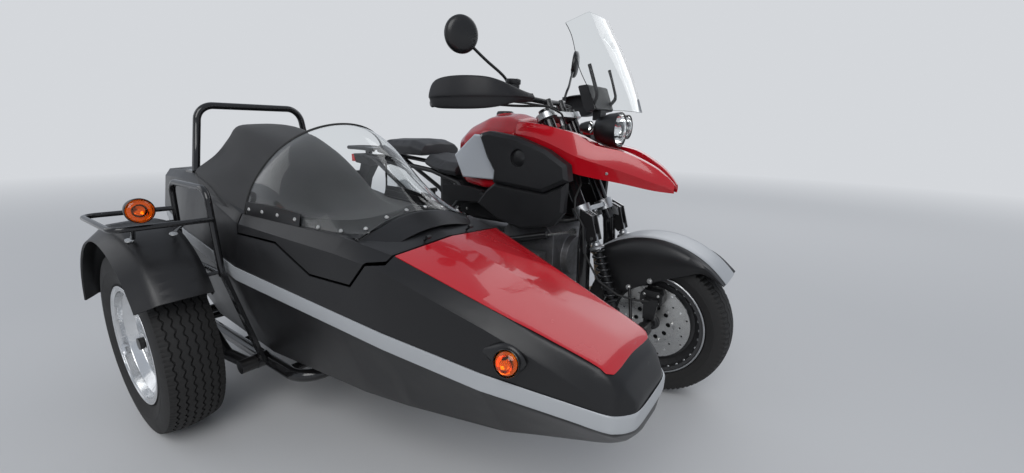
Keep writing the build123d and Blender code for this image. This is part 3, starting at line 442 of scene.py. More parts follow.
def metal(name, colour, low, high, stain=(0.3, 0.28, 0.25), stains=0.3, depth=0.05):
    given = {"Colour": (*colour, 1), "Stain": (*stain, 1), "Stains": stains, "Rough low": low,
             "Rough high": high}
    return grouped(name, "Worn metal", given, (0.0003, depth), Metallic=1.0)


def woven(name, colour, faded, threads, sheen):
    given = {"Colour": (*colour, 1), "Faded colour": (*faded, 1), "Threads": threads}
    return grouped(name, "Weave", given, (0.0004, 0.35), Sheen_Weight=sheen, Sheen_Roughness=0.5)


def clear(name, colour, rough, ior):
    return new_material(name, Base_Color=(*colour, 1), Transmission_Weight=1.0, IOR=ior, Roughness=rough)[0]


FINISH = {}


def build_finishes():
    paint = bpy.context.scene.outfit_paint
    build_moulded()
    build_weave()
    build_brushed()
    FINISH.update({
        "red": moulded("Red gloss paint", paint.red, 0.20, 0.28, 1600, 0.02, 0.006, coat=0.75, shine=0.35),
        "body": moulded("Satin black body", paint.body_black, 0.30, 0.38, 1400, 0.05, 0.008, coat_rough=0.1,
                        shine=0.42),
        "guard": moulded("Satin black guard", paint.body_black, 0.32, 0.42, 1500, 0.10, 0.015,
                         coat_rough=0.1),
        "silver": moulded("Silver stripe", paint.silver, 0.30, 0.38, 2400, 0.05, 0.02, 0.25),
        "panel": moulded("Silver grey panel", (0.66, 0.69, 0.73), 0.32, 0.42, 2400, 0.05, 0.01, 0.2),
        "plastic": moulded("Grained plastic", paint.plastic, 0.44, 0.56, 520, 0.45, 0.012, shine=0.4),
        "smooth_plastic": moulded("Smooth black plastic", (0.009, 0.009, 0.010), 0.25, 0.36, 900, 0.1, 0.01),
        "frame": moulded("Black frame coat", (0.010, 0.010, 0.011), 0.26, 0.36, 700, 0.12, 0.03),
        "tube": moulded("Gloss black tube", (0.008, 0.008, 0.009), 0.12, 0.2, 700, 0.04, 0.01, coat=0.3,
                        coat_rough=0.05),
        "alloy": metal("Light alloy", (0.55, 0.56, 0.57), 0.28, 0.42, (0.34, 0.33, 0.31), 0.4),
        "dark_alloy": metal("Dark cast alloy", (0.24, 0.24, 0.25), 0.42, 0.6, (0.13, 0.12, 0.11), 0.6, 0.3),
        "polished": metal("Polished rim", (0.78, 0.79, 0.80), 0.12, 0.26, (0.45, 0.43, 0.40), 0.25, 0.03),
        "steel": metal("Brushed steel", (0.60, 0.60, 0.59), 0.2, 0.36, (0.34, 0.31, 0.28), 0.25),
        "bronze_pipe": metal("Heat-tinted pipe", (0.46, 0.36, 0.25), 0.2, 0.35, (0.20, 0.13, 0.10), 0.7),
        "dark_wheel": moulded("Dark grey wheel", (0.035, 0.036, 0.039), 0.3, 0.42, 900, 0.2, 0.05, 0.2),
        "rubber": moulded("Rubber", (0.012, 0.012, 0.012), 0.55, 0.7, 700, 0.4, 0.015),
        "tyre": moulded("Tyre rubber", (0.012, 0.012, 0.0125), 0.6, 0.78, 600, 0.6, 0.035, shine=0.4),
        "vinyl": moulded("Seat vinyl", (0.030, 0.031, 0.034), 0.40, 0.52, 480, 0.7, 0.03),
        "fabric": woven("Cover canvas", (0.020, 0.020, 0.021), (0.038, 0.038, 0.040), 4200, 0.15),
        "screen": clear("Clear acrylic", (0.955, 0.972, 0.97), 0.01, 1.3),
        "lens": clear("Lamp lens", (0.97, 0.98, 0.98), 0.02, 1.5),
        "amber": clear("Amber lens", (0.95, 0.33, 0.02), 0.06, 1.5),
        "red_lens": clear("Red lens", (0.6, 0.01, 0.01), 0.08, 1.5),
        "mirror": metal("Mirror", (0.9, 0.9, 0.9), 0.01, 0.02, stains=0.0, depth=0.0),
    })


# Geometry Nodes helpers


def geo_group(name, inputs):
    """Empty modifier group with a geometry way through and its named inputs."""
    parts = new_group("GeometryNodeTree", name, [("Geometry", GEOMETRY, None), *inputs],
                      [("Geometry", GEOMETRY)])
    parts[0].tree.is_modifier = True
    return parts


def finish_group(shade, made, given, result, weld=None):
    """Makes the instances real, welds them where asked and gives them their material."""
    made = shade.out("GeometryNodeRealizeInstances", {0: made})
    if weld is not None:
        made = shade.out("GeometryNodeMergeByDistance", {"Geometry": made, "Distance": weld})
    made = shade.out("GeometryNodeSetMaterial", {"Geometry": made, "Material": given["Finish"]})
    shade.fill(result, {"Geometry": made})


def on_points(shade, given, points, rotation, **more):
    """The given piece as an instance on every point."""
    piece = shade.out("GeometryNodeObjectInfo", {"Object": given["Piece"]}, "Geometry")
    return shade.out("GeometryNodeInstanceOnPoints",
                     {"Points": points, "Instance": piece, "Rotation": rotation, **more})


def build_ring():
    """A piece repeated around the Y axis."""
    shade, given, result = geo_group("Ring of pieces", [
        ("Piece", OBJECT, None), ("Count", COUNT, 12), ("First turn", FLOAT, 0.0), ("Weld", FLOAT, 0.00001),
        ("Finish", MATERIAL, None)])
    line = shade.out("GeometryNodeMeshLine", {"Offset": (0, 0, 0), "Count": given["Count"]})
    index = shade.out("GeometryNodeInputIndex")
    share = shade.math("DIVIDE", shade.math("MULTIPLY", index, 2 * math.pi), given["Count"])
    turn = shade.out("ShaderNodeCombineXYZ", {"Y": shade.math("ADD", share, given["First turn"])})
    euler = shade.out("FunctionNodeEulerToRotation", {0: turn})
    finish_group(shade, on_points(shade, given, line, euler), given, result, given["Weld"])


def build_heads():
    """A piece set on every point, facing along the point's stored direction and turned at random."""
    shade, given, result = geo_group("Heads on points", [
        ("Piece", OBJECT, None), ("Size", FLOAT, 1.0), ("Seed", COUNT, 3), ("Finish", MATERIAL, None)])
    facing = shade.out("GeometryNodeInputNamedAttribute", {"Name": "facing"}, "Attribute",
                       data_type="FLOAT_VECTOR")
    aim = shade.out("FunctionNodeAlignRotationToVector", {"Vector": facing}, axis="Z")
    chance = shade.node("FunctionNodeRandomValue", {"Max": 2 * math.pi, "Seed": given["Seed"]},
                        data_type="FLOAT")
    turn = shade.out("ShaderNodeCombineXYZ", {"Z": next(s for s in chance.outputs if s.enabled)})
    euler = shade.out("FunctionNodeEulerToRotation", {0: turn})
    both = shade.out("FunctionNodeRotateRotation", {0: aim, 1: euler}, rotation_space="LOCAL")
    heads = on_points(shade, given, given["Geometry"], both, Scale=given["Size"])
    finish_group(shade, heads, given, result)


def build_coil():
    """Wire wound around the Z axis."""
    shade, given, result = geo_group("Coil spring", [
        ("Turns", FLOAT, 7.0), ("Radius", FLOAT, 0.028), ("Length", FLOAT, 0.2), ("Wire", FLOAT, 0.004),
        ("Finish", MATERIAL, None)])
    spiral = shade.out("GeometryNodeCurveSpiral", {
        "Resolution": 20, "Rotations": given["Turns"], "Start Radius": given["Radius"],
        "End Radius": given["Radius"], "Height": given["Length"]})
    ring = shade.out("GeometryNodeCurvePrimitiveCircle", {"Resolution": 8, "Radius": given["Wire"]})
    solid = shade.out("GeometryNodeCurveToMesh", {"Curve": spiral, "Profile Curve": ring, "Fill Caps": True})
    finish_group(shade, solid, given, result)


def build_beads():
    """A piece repeated along the edges of a line, turned with it."""
    shade, given, result = geo_group("Beads on a line", [
        ("Piece", OBJECT, None), ("Spacing", FLOAT, 0.01), ("Finish", MATERIAL, None)])
    line = shade.out("GeometryNodeMeshToCurve", {0: given["Geometry"]})
    even = shade.out("GeometryNodeResampleCurve", {"Curve": line, "Length": given["Spacing"]}, mode="LENGTH")
    along = shade.out("GeometryNodeInputTangent")
    aim = shade.out("FunctionNodeAlignRotationToVector", {"Vector": along}, axis="Z")
    finish_group(shade, on_points(shade, given, even, aim), given, result)


def grown(made, group, angle=30, **inputs):
    """The object with a Geometry Nodes group run on it, as a plain mesh."""
    added = made.modifiers.new(group, "NODES")
    added.node_group = bpy.data.node_groups[group]
    for item in added.node_group.interface.items_tree:
        key = item.name.replace(" ", "_")
        if item.item_type == "SOCKET" and item.in_out == "INPUT" and key in inputs:
            added[item.identifier] = inputs[key]
    made = plain(made)
    if not made.data.polygons:
        raise RuntimeError(f"{made.name}: {group} made no faces")
    smoothed(made.data, angle)
    return made


def seed_mesh(name, points=(), edges=()):
    mesh = bpy.data.meshes.new(name)
    mesh.from_pydata([tuple(p) for p in points], edges, [])
    return linked(name, mesh)


def turned(name, profile, place, axis, finish, steps=48, angle=30, loop=False):
    """Shape turned about an axis; the profile is (radius, distance along the axis) in millimetres."""
    spin = Vector((0, 0, 1)).rotation_difference(Vector(axis).normalized())
    rows = []
    for i in range(steps):
        turn = 2 * math.pi * i / steps
        rows.append([at(*place) + spin @ (Vector((r * math.cos(turn), r * math.sin(turn), h)) / 1000)
                     for r, h in profile])
    return from_rows(name, rows, FINISH[finish], round_rows=True, round_points=loop, angle=angle)


def local(name, profile, sides, angle=40):
    """Small turned piece at the origin with its axis along Z, in metres, used for instances."""
    rows = []
    for i in range(sides):
        turn = 2 * math.pi * i / sides
        rows.append([Vector((r * math.cos(turn), r * math.sin(turn), h)) / 1000 for r, h in profile])
    return from_rows(name, rows, None, round_rows=True, angle=angle)


def headed(name, profile, sides, spots, finish="steel", size=1.0, seed=3):
    """One mesh of small turned heads on all spots, which are (place in drawing millimetres, facing)."""
    head = local(name + "_piece", profile, sides)
    base = seed_mesh(name, [at(*place) for place, _ in spots])
    stored = base.data.attributes.new("facing", "FLOAT_VECTOR", "POINT")
    for item, (_, facing) in zip(stored.data, spots):
        item.vector = Vector(facing).normalized()
    made = grown(base, "Heads on points", Piece=head, Size=float(size), Seed=seed, Finish=FINISH[finish])
    bpy.data.objects.remove(head)
    return made


def fastened(name, profile, sides, spots, body, size, seed=3):
    """Steel heads on all spots, handed to their body."""
    return placed(headed(name, profile, sides, spots, "steel", size, seed), body)

# Columns: radius and height in millimetres
DOME_HEAD = ((0, 0.9), (1.6, 0.9), (2.0, 2.2), (2.6, 2.6), (4.2, 1.9), (5.2, 0.5), (5.4, -1.0))
HEX_HEAD = ((0, 5.4), (5.6, 5.4), (6.6, 4.8), (6.6, 0.9), (6.61, 0.9))
WASHER = ((0, 0.9), (9.0, 0.9), (9.4, 0.5), (9.4, -1.0))
RIVET_HEAD = ((0, 1.7), (1.8, 1.4), (3.0, 0.4), (3.1, -1.0))


def spline_rows(rows, steps):
    """Catmull-Rom points through a list of equal rows of vectors."""
    result = []
    last = len(rows) - 1
    for i in range(last):
        before, start, end, after = rows[max(i - 1, 0)], rows[i], rows[i + 1], rows[min(i + 2, last)]
        for k in range(steps):
            t = k / steps
            result.append([0.5 * ((2 * b) + (c - a) * t + (2 * a - 5 * b + 4 * c - d) * t * t
                                  + (3 * b - a - 3 * c + d) * t * t * t)
                           for a, b, c, d in zip(before, start, end, after)])
    result.append(list(rows[-1]))
    return result


def smooth_grid(rows, along, across):
    """A net of points made finer in both directions on smooth curves."""
    fine = spline_rows(rows, along)
    columns = spline_rows([list(column) for column in zip(*fine)], across)
    return [list(row) for row in zip(*columns)]


def mirrored_row(half, middle):
    """Whole row out of a half row of (offset, z) that starts at the middle."""
    return [(middle - y, z) for y, z in reversed(half)] + [(middle + y, z) for y, z in half if y > 0]


def softened(node, finish, voxel, rounds):
    """Copy of a CAD node with its edges melted into one smooth skin."""
    made = modified(refined(node, finish, 0), ("REMESH", {"mode": "VOXEL", "voxel_size": voxel}),
                    ("SMOOTH", {"factor": 0.5, "iterations": rounds}))
    smoothed(made.data, 180)
    return coated(made, FINISH[finish])


# The nose in drawing millimetres, the size of the net laid on it and the length of its blend in metres
NOSE_START, NOSE_END, NOSE_HALF, NOSE_TOP = 1480, 1840, 260, 700
NOSE_GRID, NOSE_BLEND = 16, 0.14
NOSE_ROUNDS = 30


def rounded_nose(made):
    """Melts the facets of the body's nose together, more and more towards its tip."""
    low = at(NOSE_START - 20, BODY_Y - NOSE_HALF, 0)
    high = at(NOSE_END, BODY_Y + NOSE_HALF, NOSE_TOP)
    start = at(NOSE_START, 0, 0).x
    with edited(made.data) as shape:
        for axis in range(3):
            place, normal = low.copy(), Vector([float(k == axis) for k in range(3)])
            while place[axis] < high[axis]:
                faces = [f for f in shape.faces if max(v.co.x for v in f.verts) > low.x]
                parts = {item for f in faces for item in (f, *f.edges, *f.verts)}
                bmesh.ops.bisect_plane(shape, geom=list(parts), plane_co=place, plane_no=normal, dist=WELD)
                place[axis] += NOSE_GRID / 1000
        share = {v: min(max((v.co.x - start) / NOSE_BLEND, 0), 1) for v in shape.verts if v.co.x > start}
        for _ in range(NOSE_ROUNDS):
            moved = {}
            for v, part in share.items():
                around = sum((e.other_vert(v).co for e in v.link_edges), Vector()) / len(v.link_edges)
                moved[v] = v.co.lerp(around, part / 2)
            for v, place in moved.items():
                v.co = place
    if "custom_normal" in made.data.attributes:
        made.data.attributes.remove(made.data.attributes["custom_normal"])
    smoothed(made.data, 40)
    return made


RECORD = frame["record"]
HOME = {node: body for body, nodes in RECORD["behaviour"]["bodies"].items() for node in nodes}


def dressed(node, finish, width, segments=2, angle=28):
    """A CAD node in its finish, with softened edges."""
    made = refined(node, finish, width, segments, angle)
    return placed(made, HOME[node], (node,))


def dressed_all(table):
    for node, finish, width in table:
        dressed(node, finish, width)


class OUTFIT_OT_finishes(bpy.types.Operator):
    """Materials and the node groups that the pieces use"""
    bl_idname = "outfit.finishes"
    bl_label = "Finishes and tools"

    def execute(self, context):
        build_finishes()
        build_ring()
        build_heads()
        build_coil()
        build_beads()
        return {"FINISHED"}


# Wheels

BEAD_R = 190
# Columns: node, axle, radius, width, zig-zags around the tread, places of the grooves as shares of the width,
# depth of the shoulder slots in millimetres
TYRES = (("front_tyre", FRONT_AXLE, 285, 150, 44, (-0.26, -0.09, 0.09, 0.26), 6.5),
         ("rear_tyre", REAR_AXLE, 314, 165, 56, (-0.26, -0.09, 0.09, 0.26), 5.0),
         ("sidecar_tyre", SIDECAR_AXLE, 314, 166, 62, (-0.33, -0.2, -0.067, 0.067, 0.2, 0.33), 2.5))
# One zig-zag of a groove, as shares of its reach in millimetres with few and with many grooves
SWAY = (-1.0, -0.75, 0.45, 1.0, 0.75, -0.45)
FEW_REACH, MANY_REACH = 4.0, 3.0
# Across a groove: millimetres from its middle, share of its depth
GROOVE = ((-2.6, 0), (-1.7, 1), (1.7, 1), (2.6, 0))
# Half width of the tread as a share of the tyre's width, the drop at its edge and the power of its curve
CROWN_SHARE, CROWN_DROP, CROWN_CURVE = 0.40, 8.5, 2.2
TREAD_WELD = 0.00002
# Columns: share of the way from the rim up to the tread, bulge, share of the shoulder slot's depth
TYRE_WALL = ((0.97, 0.55, 1.0), (0.88, 0.72, 0.9), (0.80, 0.83, 0.35), (0.66, 0.96, 0.0), (0.52, 1.0, 0.0),
             (0.47, 1.0, 0.0), (0.46, 1.04, 0.0), (0.43, 1.04, 0.0), (0.42, 0.99, 0.0), (0.28, 0.86, 0.0),
             (0.12, 0.52, 0.0), (0.06, 0.44, 0.0), (0.0, 0.0, 0.0))


def tyre_row(radius, width, grooves, sway, depth, slot):
    """One cut through a tyre as (across, radius) points, from bead to bead."""
    half, crown = width / 2, width * CROWN_SHARE
    bead = crown - 0.3

    def top(y):
        return radius - CROWN_DROP * (abs(y) / crown) ** CROWN_CURVE

    tread = [(-crown, top(crown) - slot)]
    for share in grooves:
        for offset, sink in GROOVE:
            y = share * width + sway + offset
            tread.append((y, top(y) - depth * sink))
    tread.append((crown, top(crown) - slot))
    low, high = BEAD_R + 15, top(crown)
    wall = []
    for share, bulge, ridge in TYRE_WALL:
        y = bead + (half - bead) * bulge if share < 0.9 else crown + (half - crown) * bulge
        wall.append((y, low + (high - low) * share - slot * ridge))
    wall.append((bead, BEAD_R + 0.3))
    return [(-y, r) for y, r in reversed(wall)] + tread + wall


def tyre(name, axle, radius, width, pitches, grooves, shoulder):
    """A tyre out of one zig-zag's pitch, repeated around the axle."""
    depth = bpy.context.scene.outfit_tyres.groove_depth * 1000
    reach = MANY_REACH if len(grooves) > 4 else FEW_REACH
    rows = []
    for i in range(len(SWAY) + 1):
        turn = 2 * math.pi * i / len(SWAY) / pitches
        slot = shoulder if i % 3 == 1 else 0.0
        rows.append([Vector((r * math.sin(turn), y, r * math.cos(turn))) / 1000 for y, r in
                     tyre_row(radius, width, grooves, SWAY[i % len(SWAY)] * reach, depth, slot)])
    pitch = from_rows(name + "_pitch", rows, None, round_points=True)
    made = grown(seed_mesh(name + "_tread"), "Ring of pieces", 24, Piece=pitch, Count=pitches,
                 Weld=TREAD_WELD, Finish=FINISH["tyre"])
    bpy.data.objects.remove(pitch)
    made.data.transform(Matrix.Translation(at(*axle)))
    with edited(made.data) as shape:
        bmesh.ops.recalc_face_normals(shape, faces=shape.faces)
    return made


def ring_of(name, profile, sides, count, axle, finish, first, offset):
    """Small turned pieces around an axle, facing outwards along -Y."""
    piece = local(name + "_piece", profile, sides)
    piece.data.transform(Matrix.Translation(Vector(offset) / 1000) @ Matrix.Rotation(math.pi / 2, 4, "X"))
    made = grown(seed_mesh(name), "Ring of pieces", Piece=piece, Count=count, First_turn=first, Weld=0.0,
                 Finish=FINISH[finish])
    bpy.data.objects.remove(piece)
    made.data.transform(Matrix.Translation(at(*axle)))
    return made


class OUTFIT_OT_tyres(bpy.types.Operator):
    """Three tyres with zig-zag grooves"""
    bl_idname = "outfit.tyres"
    bl_label = "Tyres"

    def execute(self, context):
        for row in TYRES:
            placed(tyre(*row), HOME[row[0]], (row[0],))
        return {"FINISHED"}


# Profiles of (radius, distance outwards from the wheel's middle)
RIM_LIP = ((201.5, 60.5), (203.8, 62), (204.2, 68), (202, 69.6), (198.8, 69.2), (198.5, 61))
HUB_CAP = ((0, 66), (22, 66), (27, 63), (30, 58), (30, 46))
RIM_DIMPLE = ((0, 2.5), (3, 2.2), (5, 0.8), (5.4, -2))
# Columns: name, count, axle, offset from the axle, body
WHEEL_BOLTS = (("front_disc_bolts", 10, FRONT_AXLE, (0, -42.6, 78), "front_wheel_body"),
               ("sidecar_wheel_bolts", 5, SIDECAR_AXLE, (0, 14, 52), "sidecar_wheel_body"),
               ("rear_wheel_bolts", 5, REAR_AXLE, (0, -26, 52), "rear_wheel_body"))


class OUTFIT_OT_wheels(bpy.types.Operator):
    """Rims with their lips, bolts, dimples and hub cap, and the drilled front disc"""
    bl_idname = "outfit.wheels"
    bl_label = "Wheels and disc"

    def execute(self, context):
        dressed_all((("front_wheel", "dark_wheel", 1.5), ("rear_wheel", "dark_wheel", 1.5),
                     ("sidecar_wheel", "polished", 2.0), ("brake_disc", "steel", 0.5)))
        right = (0, -1, 0)
        placed(turned("front_rim_lip", RIM_LIP, FRONT_AXLE, right, "alloy", 128, loop=True),
               "front_wheel_body")
        placed(turned("front_hub_cap", HUB_CAP, FRONT_AXLE, right, "smooth_plastic"),
               "front_wheel_body")
        for name, count, axle, offset, body in WHEEL_BOLTS:
            placed(ring_of(name, HEX_HEAD, 6, count, axle, "steel", 0.2, offset), body)
        placed(ring_of("front_rim_dimples", RIM_DIMPLE, 14, 32, FRONT_AXLE, "alloy", 0.1, (0, -60, 184)),
               "front_wheel_body")
        return {"FINISHED"}


# Sidecar body

# Columns: x, half width and height of the arch's feet, rise of the arch
SCREEN = ((596, 271, 752, 262), (763, 254, 750, 280), (950, 234, 746, 148), (1102, 216, 743, 36))
SCREEN_REAR = ((608, 752), (640, 842), (700, 950), (763, 1030))


def screen_rear_x(z):
    """x of the screen's leaning rear edge at a height."""
    for (x0, z0), (x1, z1) in zip(SCREEN_REAR, SCREEN_REAR[1:]):
        if z <= z1:
            return x0 + (x1 - x0) * max(z - z0, 0) / (z1 - z0)
    return SCREEN_REAR[-1][0]


def screen_rise(x):
    """(half width, foot height, rise) of the screen at x, on a smooth curve through its table."""
    rows = spline_rows(SCREEN, 24)
    for low, high in zip(rows, rows[1:]):
        if x <= high[0] or high is rows[-1]:
            share = min(max((x - low[0]) / (high[0] - low[0]), 0), 1)
            return [a + (b - a) * share for a, b in zip(low, high)][1:]


def arch_point(x, u, inset=0.0):
    """Point of the screen at x, with u from -1 at the right foot to 1 at the left foot."""
    w, foot, rise = screen_rise(x)
    w, rise = w - inset, rise - inset
    radius = (w * w + rise * rise) / (2 * rise)
    reach = math.asin(min(w / radius, 1)) if rise < radius else math.pi - math.asin(min(w / radius, 1))
    turn = u * reach
    return (x, BODY_Y + radius * math.sin(turn), foot + rise - radius + radius * math.cos(turn))


def screen_edge(u):
    """Where the leaning rear edge crosses the arch line u, found in small steps from its top."""
    x = float(SCREEN_REAR[-1][0])
    for _ in range(12):
        x = 0.5 * x + 0.5 * screen_rear_x(arch_point(max(x, 600), u)[2])
    return max(x, 604)


# Columns: x, drop and lift from the cowl's line, half width
HOOD = ((1080, 2, 10, 226), (1098, 4, 12, 224), (1106, 3, 12, 222), (1126, 0, 8, 220), (1150, -2, 5, 212),
        (1172, -5, 2, 200))
HOOD_X, HOOD_Z, HOOD_RISE, HOOD_SLOPE = 1098, 728, 40, 0.20


def hood():
    """Raised lip of the cowl in front of the screen."""
    rows = []
    for x, drop, lift, w in HOOD:
        edge, fall = HOOD_Z + drop, (x - HOOD_X) * HOOD_SLOPE
        rows.append([at(x, BODY_Y + w * u, edge + (HOOD_RISE + lift) * (1 - u * u) - fall)
                     for u in [i / 20 for i in range(-20, 21)]])
    return walled(from_rows("cowl_hood", rows, FINISH["body"], angle=60), 3)


class OUTFIT_OT_sidecar_body(bpy.types.Operator):
    """Painted body, tilting cowl with its hood, bonnet panel, stripe and boot lid"""
    bl_idname = "outfit.sidecar_body"
    bl_label = "Sidecar body"

    def execute(self, context):
        for node, finish, width, slot in (("sidecar_hull", "body", 3.0, "satin_black"),
                                          ("bonnet_panel", "red", 1.0, "red_paint"),
                                          ("side_stripe", "silver", 1.0, "silver_paint")):
            placed(rounded_nose(refined(node, finish, width, 3, 14)), "chassis", (node,))
        dressed("cowl", "body", 2.0, 3, 14)
        dressed("boot_lid", "body", 1.2)
        placed(hood(), "cowl_body")
        return {"FINISHED"}


# The screen's net: lines from the middle to a foot, and rows from the rear edge to the front
SCREEN_LINES, SCREEN_ROWS = 32, 28
FLANGE_X = (624, 640, 680, 720, 760, 800, 840, 866, 876)
FLANGE_U = (0.999, 0.962, 0.925, 0.898)
FLANGE_END = 870
# Columns: x and the arch line of each screw along the sides
SIDE_SCREWS = ((640, 0.95), (710, 0.95), (782, 0.95), (856, 0.95), (948, 0.97), (1030, 0.95))
FRONT_SCREWS = (-0.8, -0.48, -0.16, 0.16, 0.48, 0.8)


def screen_flange(side):
    """Strip that holds one foot of the screen."""
    rows = placed_rows([[arch_point(x, side * u, -1.2) for u in FLANGE_U] for x in FLANGE_X])
    return walled(from_rows("strip", rows, FINISH["smooth_plastic"], angle=60), 2.4, 0.0)


class OUTFIT_OT_sidecar_screen(bpy.types.Operator):
    """Clear sidecar screen with its rubber edge, flange strips and screws"""
    bl_idname = "outfit.sidecar_screen"
    bl_label = "Sidecar screen"

    def execute(self, context):
        lines = [i / SCREEN_LINES for i in range(-SCREEN_LINES, SCREEN_LINES + 1)]
        edges = [screen_edge(u) for u in lines]
        front = SCREEN[-1][0]
        rows = placed_rows([[arch_point(start + (front - start) * (k / SCREEN_ROWS), u)
                             for u, start in zip(lines, edges)] for k in range(SCREEN_ROWS + 1)])
        pane = walled(from_rows("sidecar_screen_pane", rows, FINISH["screen"], angle=180), 4)
        placed(pane, "cowl_body", ("sidecar_screen",))
        rim = [arch_point(start, u, 1.5) for u, start in zip(lines, edges)]
        placed(tube("sidecar_screen_trim", rim, 4.4, FINISH["rubber"]), "cowl_body")
        placed(both_sides("sidecar_screen_flanges", screen_flange), "cowl_body")
        spots = [(arch_point(x, side * u, -2.0 if x < FLANGE_END else 0), (0.1, side * 0.95, 0.25))
                 for side in SIDES for x, u in SIDE_SCREWS]
        spots += [(arch_point(1084, u), (0.35, math.sin(u) * 0.5, 0.9)) for u in FRONT_SCREWS]
        fastened("sidecar_screen_screws", DOME_HEAD, 12, spots, "cowl_body", 1.15)
        return {"FINISHED"}


# Rows of the cover, rear to front. Columns: x, then (offset, z) from the crown to the hem
COVER = ((180, ((0, 912), (70, 908), (134, 896), (196, 880), (232, 862), (240, 842))),
         (194, ((0, 985), (76, 980), (128, 954), (176, 908), (234, 866), (242, 834))),
         (222, ((0, 1022), (92, 1017), (128, 974), (166, 914), (238, 860), (246, 816))),
         (290, ((0, 1024), (97, 1016), (132, 968), (168, 905), (242, 848), (252, 804))),
         (370, ((0, 1008), (98, 999), (136, 948), (174, 884), (248, 826), (260, 780))),
         (470, ((0, 976), (98, 964), (142, 904), (186, 838), (258, 790), (272, 742))),
         (570, ((0, 934), (98, 920), (150, 858), (196, 798), (256, 764), (268, 738))),
         (660, ((0, 878), (98, 864), (146, 812), (188, 772), (240, 752), (244, 744))),
         (750, ((0, 806), (96, 796), (138, 768), (176, 756), (230, 748), (234, 742))),
         (860, ((0, 764), (84, 760), (124, 754), (160, 750), (214, 744), (218, 740))),
         (1000, ((0, 752), (76, 750), (110, 748), (142, 745), (196, 740), (200, 736))))
# Height of the cover's waves, and their lengths along and across it
WAVE, WAVE_ALONG, WAVE_LEAN, WAVE_ACROSS = 2.4, 110, 260, 70
# Point inside the cover that its hems are raised away from, and how far the hem and its seam are raised
COVER_MIDDLE = Vector((420, BODY_Y, 640))
HEM_LIFT, SEAM_LIFT = 2.2, 1.2
STITCH = ((0, -2.6), (0.7, -2.2), (0.9, 0), (0.7, 2.2), (0, 2.6))
# Columns: x, offset and height of each pair of snaps, and how far they face upwards
SNAPS = ((470, 271, 748, 0.2), (320, 252, 812, 0.3))


def cover_net():
    """Fine net of drawing points over the cover, with slight waves."""
    net = smooth_grid([[Vector((x, y, z)) for y, z in mirrored_row(half, BODY_Y)] for x, half in COVER], 8, 6)
    for row in net:
        for p in row:
            p.z += WAVE * noise.noise(Vector((p.x / WAVE_ALONG + p.y / WAVE_LEAN, p.y / WAVE_ACROSS, 0.3)))
    return net


def cloth_mapped(made):
    """Lays a UV map in metres over a piece of the cover."""
    layer = made.data.uv_layers.new(name="cloth")
    for loop in made.data.loops:
        place = made.data.vertices[loop.vertex_index].co
        layer.data[loop.index].uv = (place.y + place.z * 0.5, place.x - place.z * 0.5)
    return made


def cover_hem(net, columns):
    """Doubled edge of the cover on one side, and the line of its seam in the frame."""
    rows = [[p + (p - COVER_MIDDLE).normalized() * HEM_LIFT for p in (row[k] for k in columns)]
            for row in net]
    hem = walled(from_rows("hem", placed_rows(rows), FINISH["fabric"]), 1.6)
    seam = [at(*(row[-1] + (row[-2] - row[-1]) * 0.3 + (row[-1] - COVER_MIDDLE).normalized() * SEAM_LIFT))
            for row in rows]
    return hem, seam


class OUTFIT_OT_cover(bpy.types.Operator):
    """Canvas cover stretched from the headrest to the dash"""
    bl_idname = "outfit.cover"
    bl_label = "Canvas cover"

    def execute(self, context):
        net = cover_net()
        cover = cloth_mapped(from_rows("tonneau_cloth", placed_rows(net), FINISH["fabric"], angle=180))
        cover = modified(cover, ("SOLIDIFY", {"thickness": 0.0022, "offset": -1.0}))
        placed(cover, "chassis", ("tonneau_cover",))
        hems, seams = zip(*[cover_hem(net, columns) for columns in (range(5), range(-1, -6, -1))])
        hem = placed(merged("cover_hem", [cloth_mapped(strip) for strip in hems]), "chassis")
        stitch = local("stitch_piece", STITCH, 6, 180)
        count = len(seams[0])
        lines = seed_mesh("cover_stitches", [p for seam in seams for p in seam],
                          [(k + n, k + n + 1) for n in (0, count) for k in range(count - 1)])
        stitches = grown(lines, "Beads on a line", 180, Piece=stitch, Spacing=0.008, Finish=FINISH["rubber"])
        placed(stitches, "chassis")
        bpy.data.objects.remove(stitch)
        spots = [((x, BODY_Y + side * y, z), (0, side, up)) for x, y, z, up in SNAPS for side in SIDES]
        snaps = fastened("cover_snaps", RIVET_HEAD, 12, spots, "chassis", 2.0)
        return {"FINISHED"}


# Farthest that the cloth of a cushion may swell, in metres, and the steps that it swells in
SWELL, SWELL_STEPS = 0.005, 20
# Columns: node, how far the cushion's shape is drawn in and the size of its net, in metres
CUSHIONS = (("rider_seat", 0.003, 0.006), ("pillion_seat", 0.003, 0.006), ("seat_back", 0.006, 0.009))


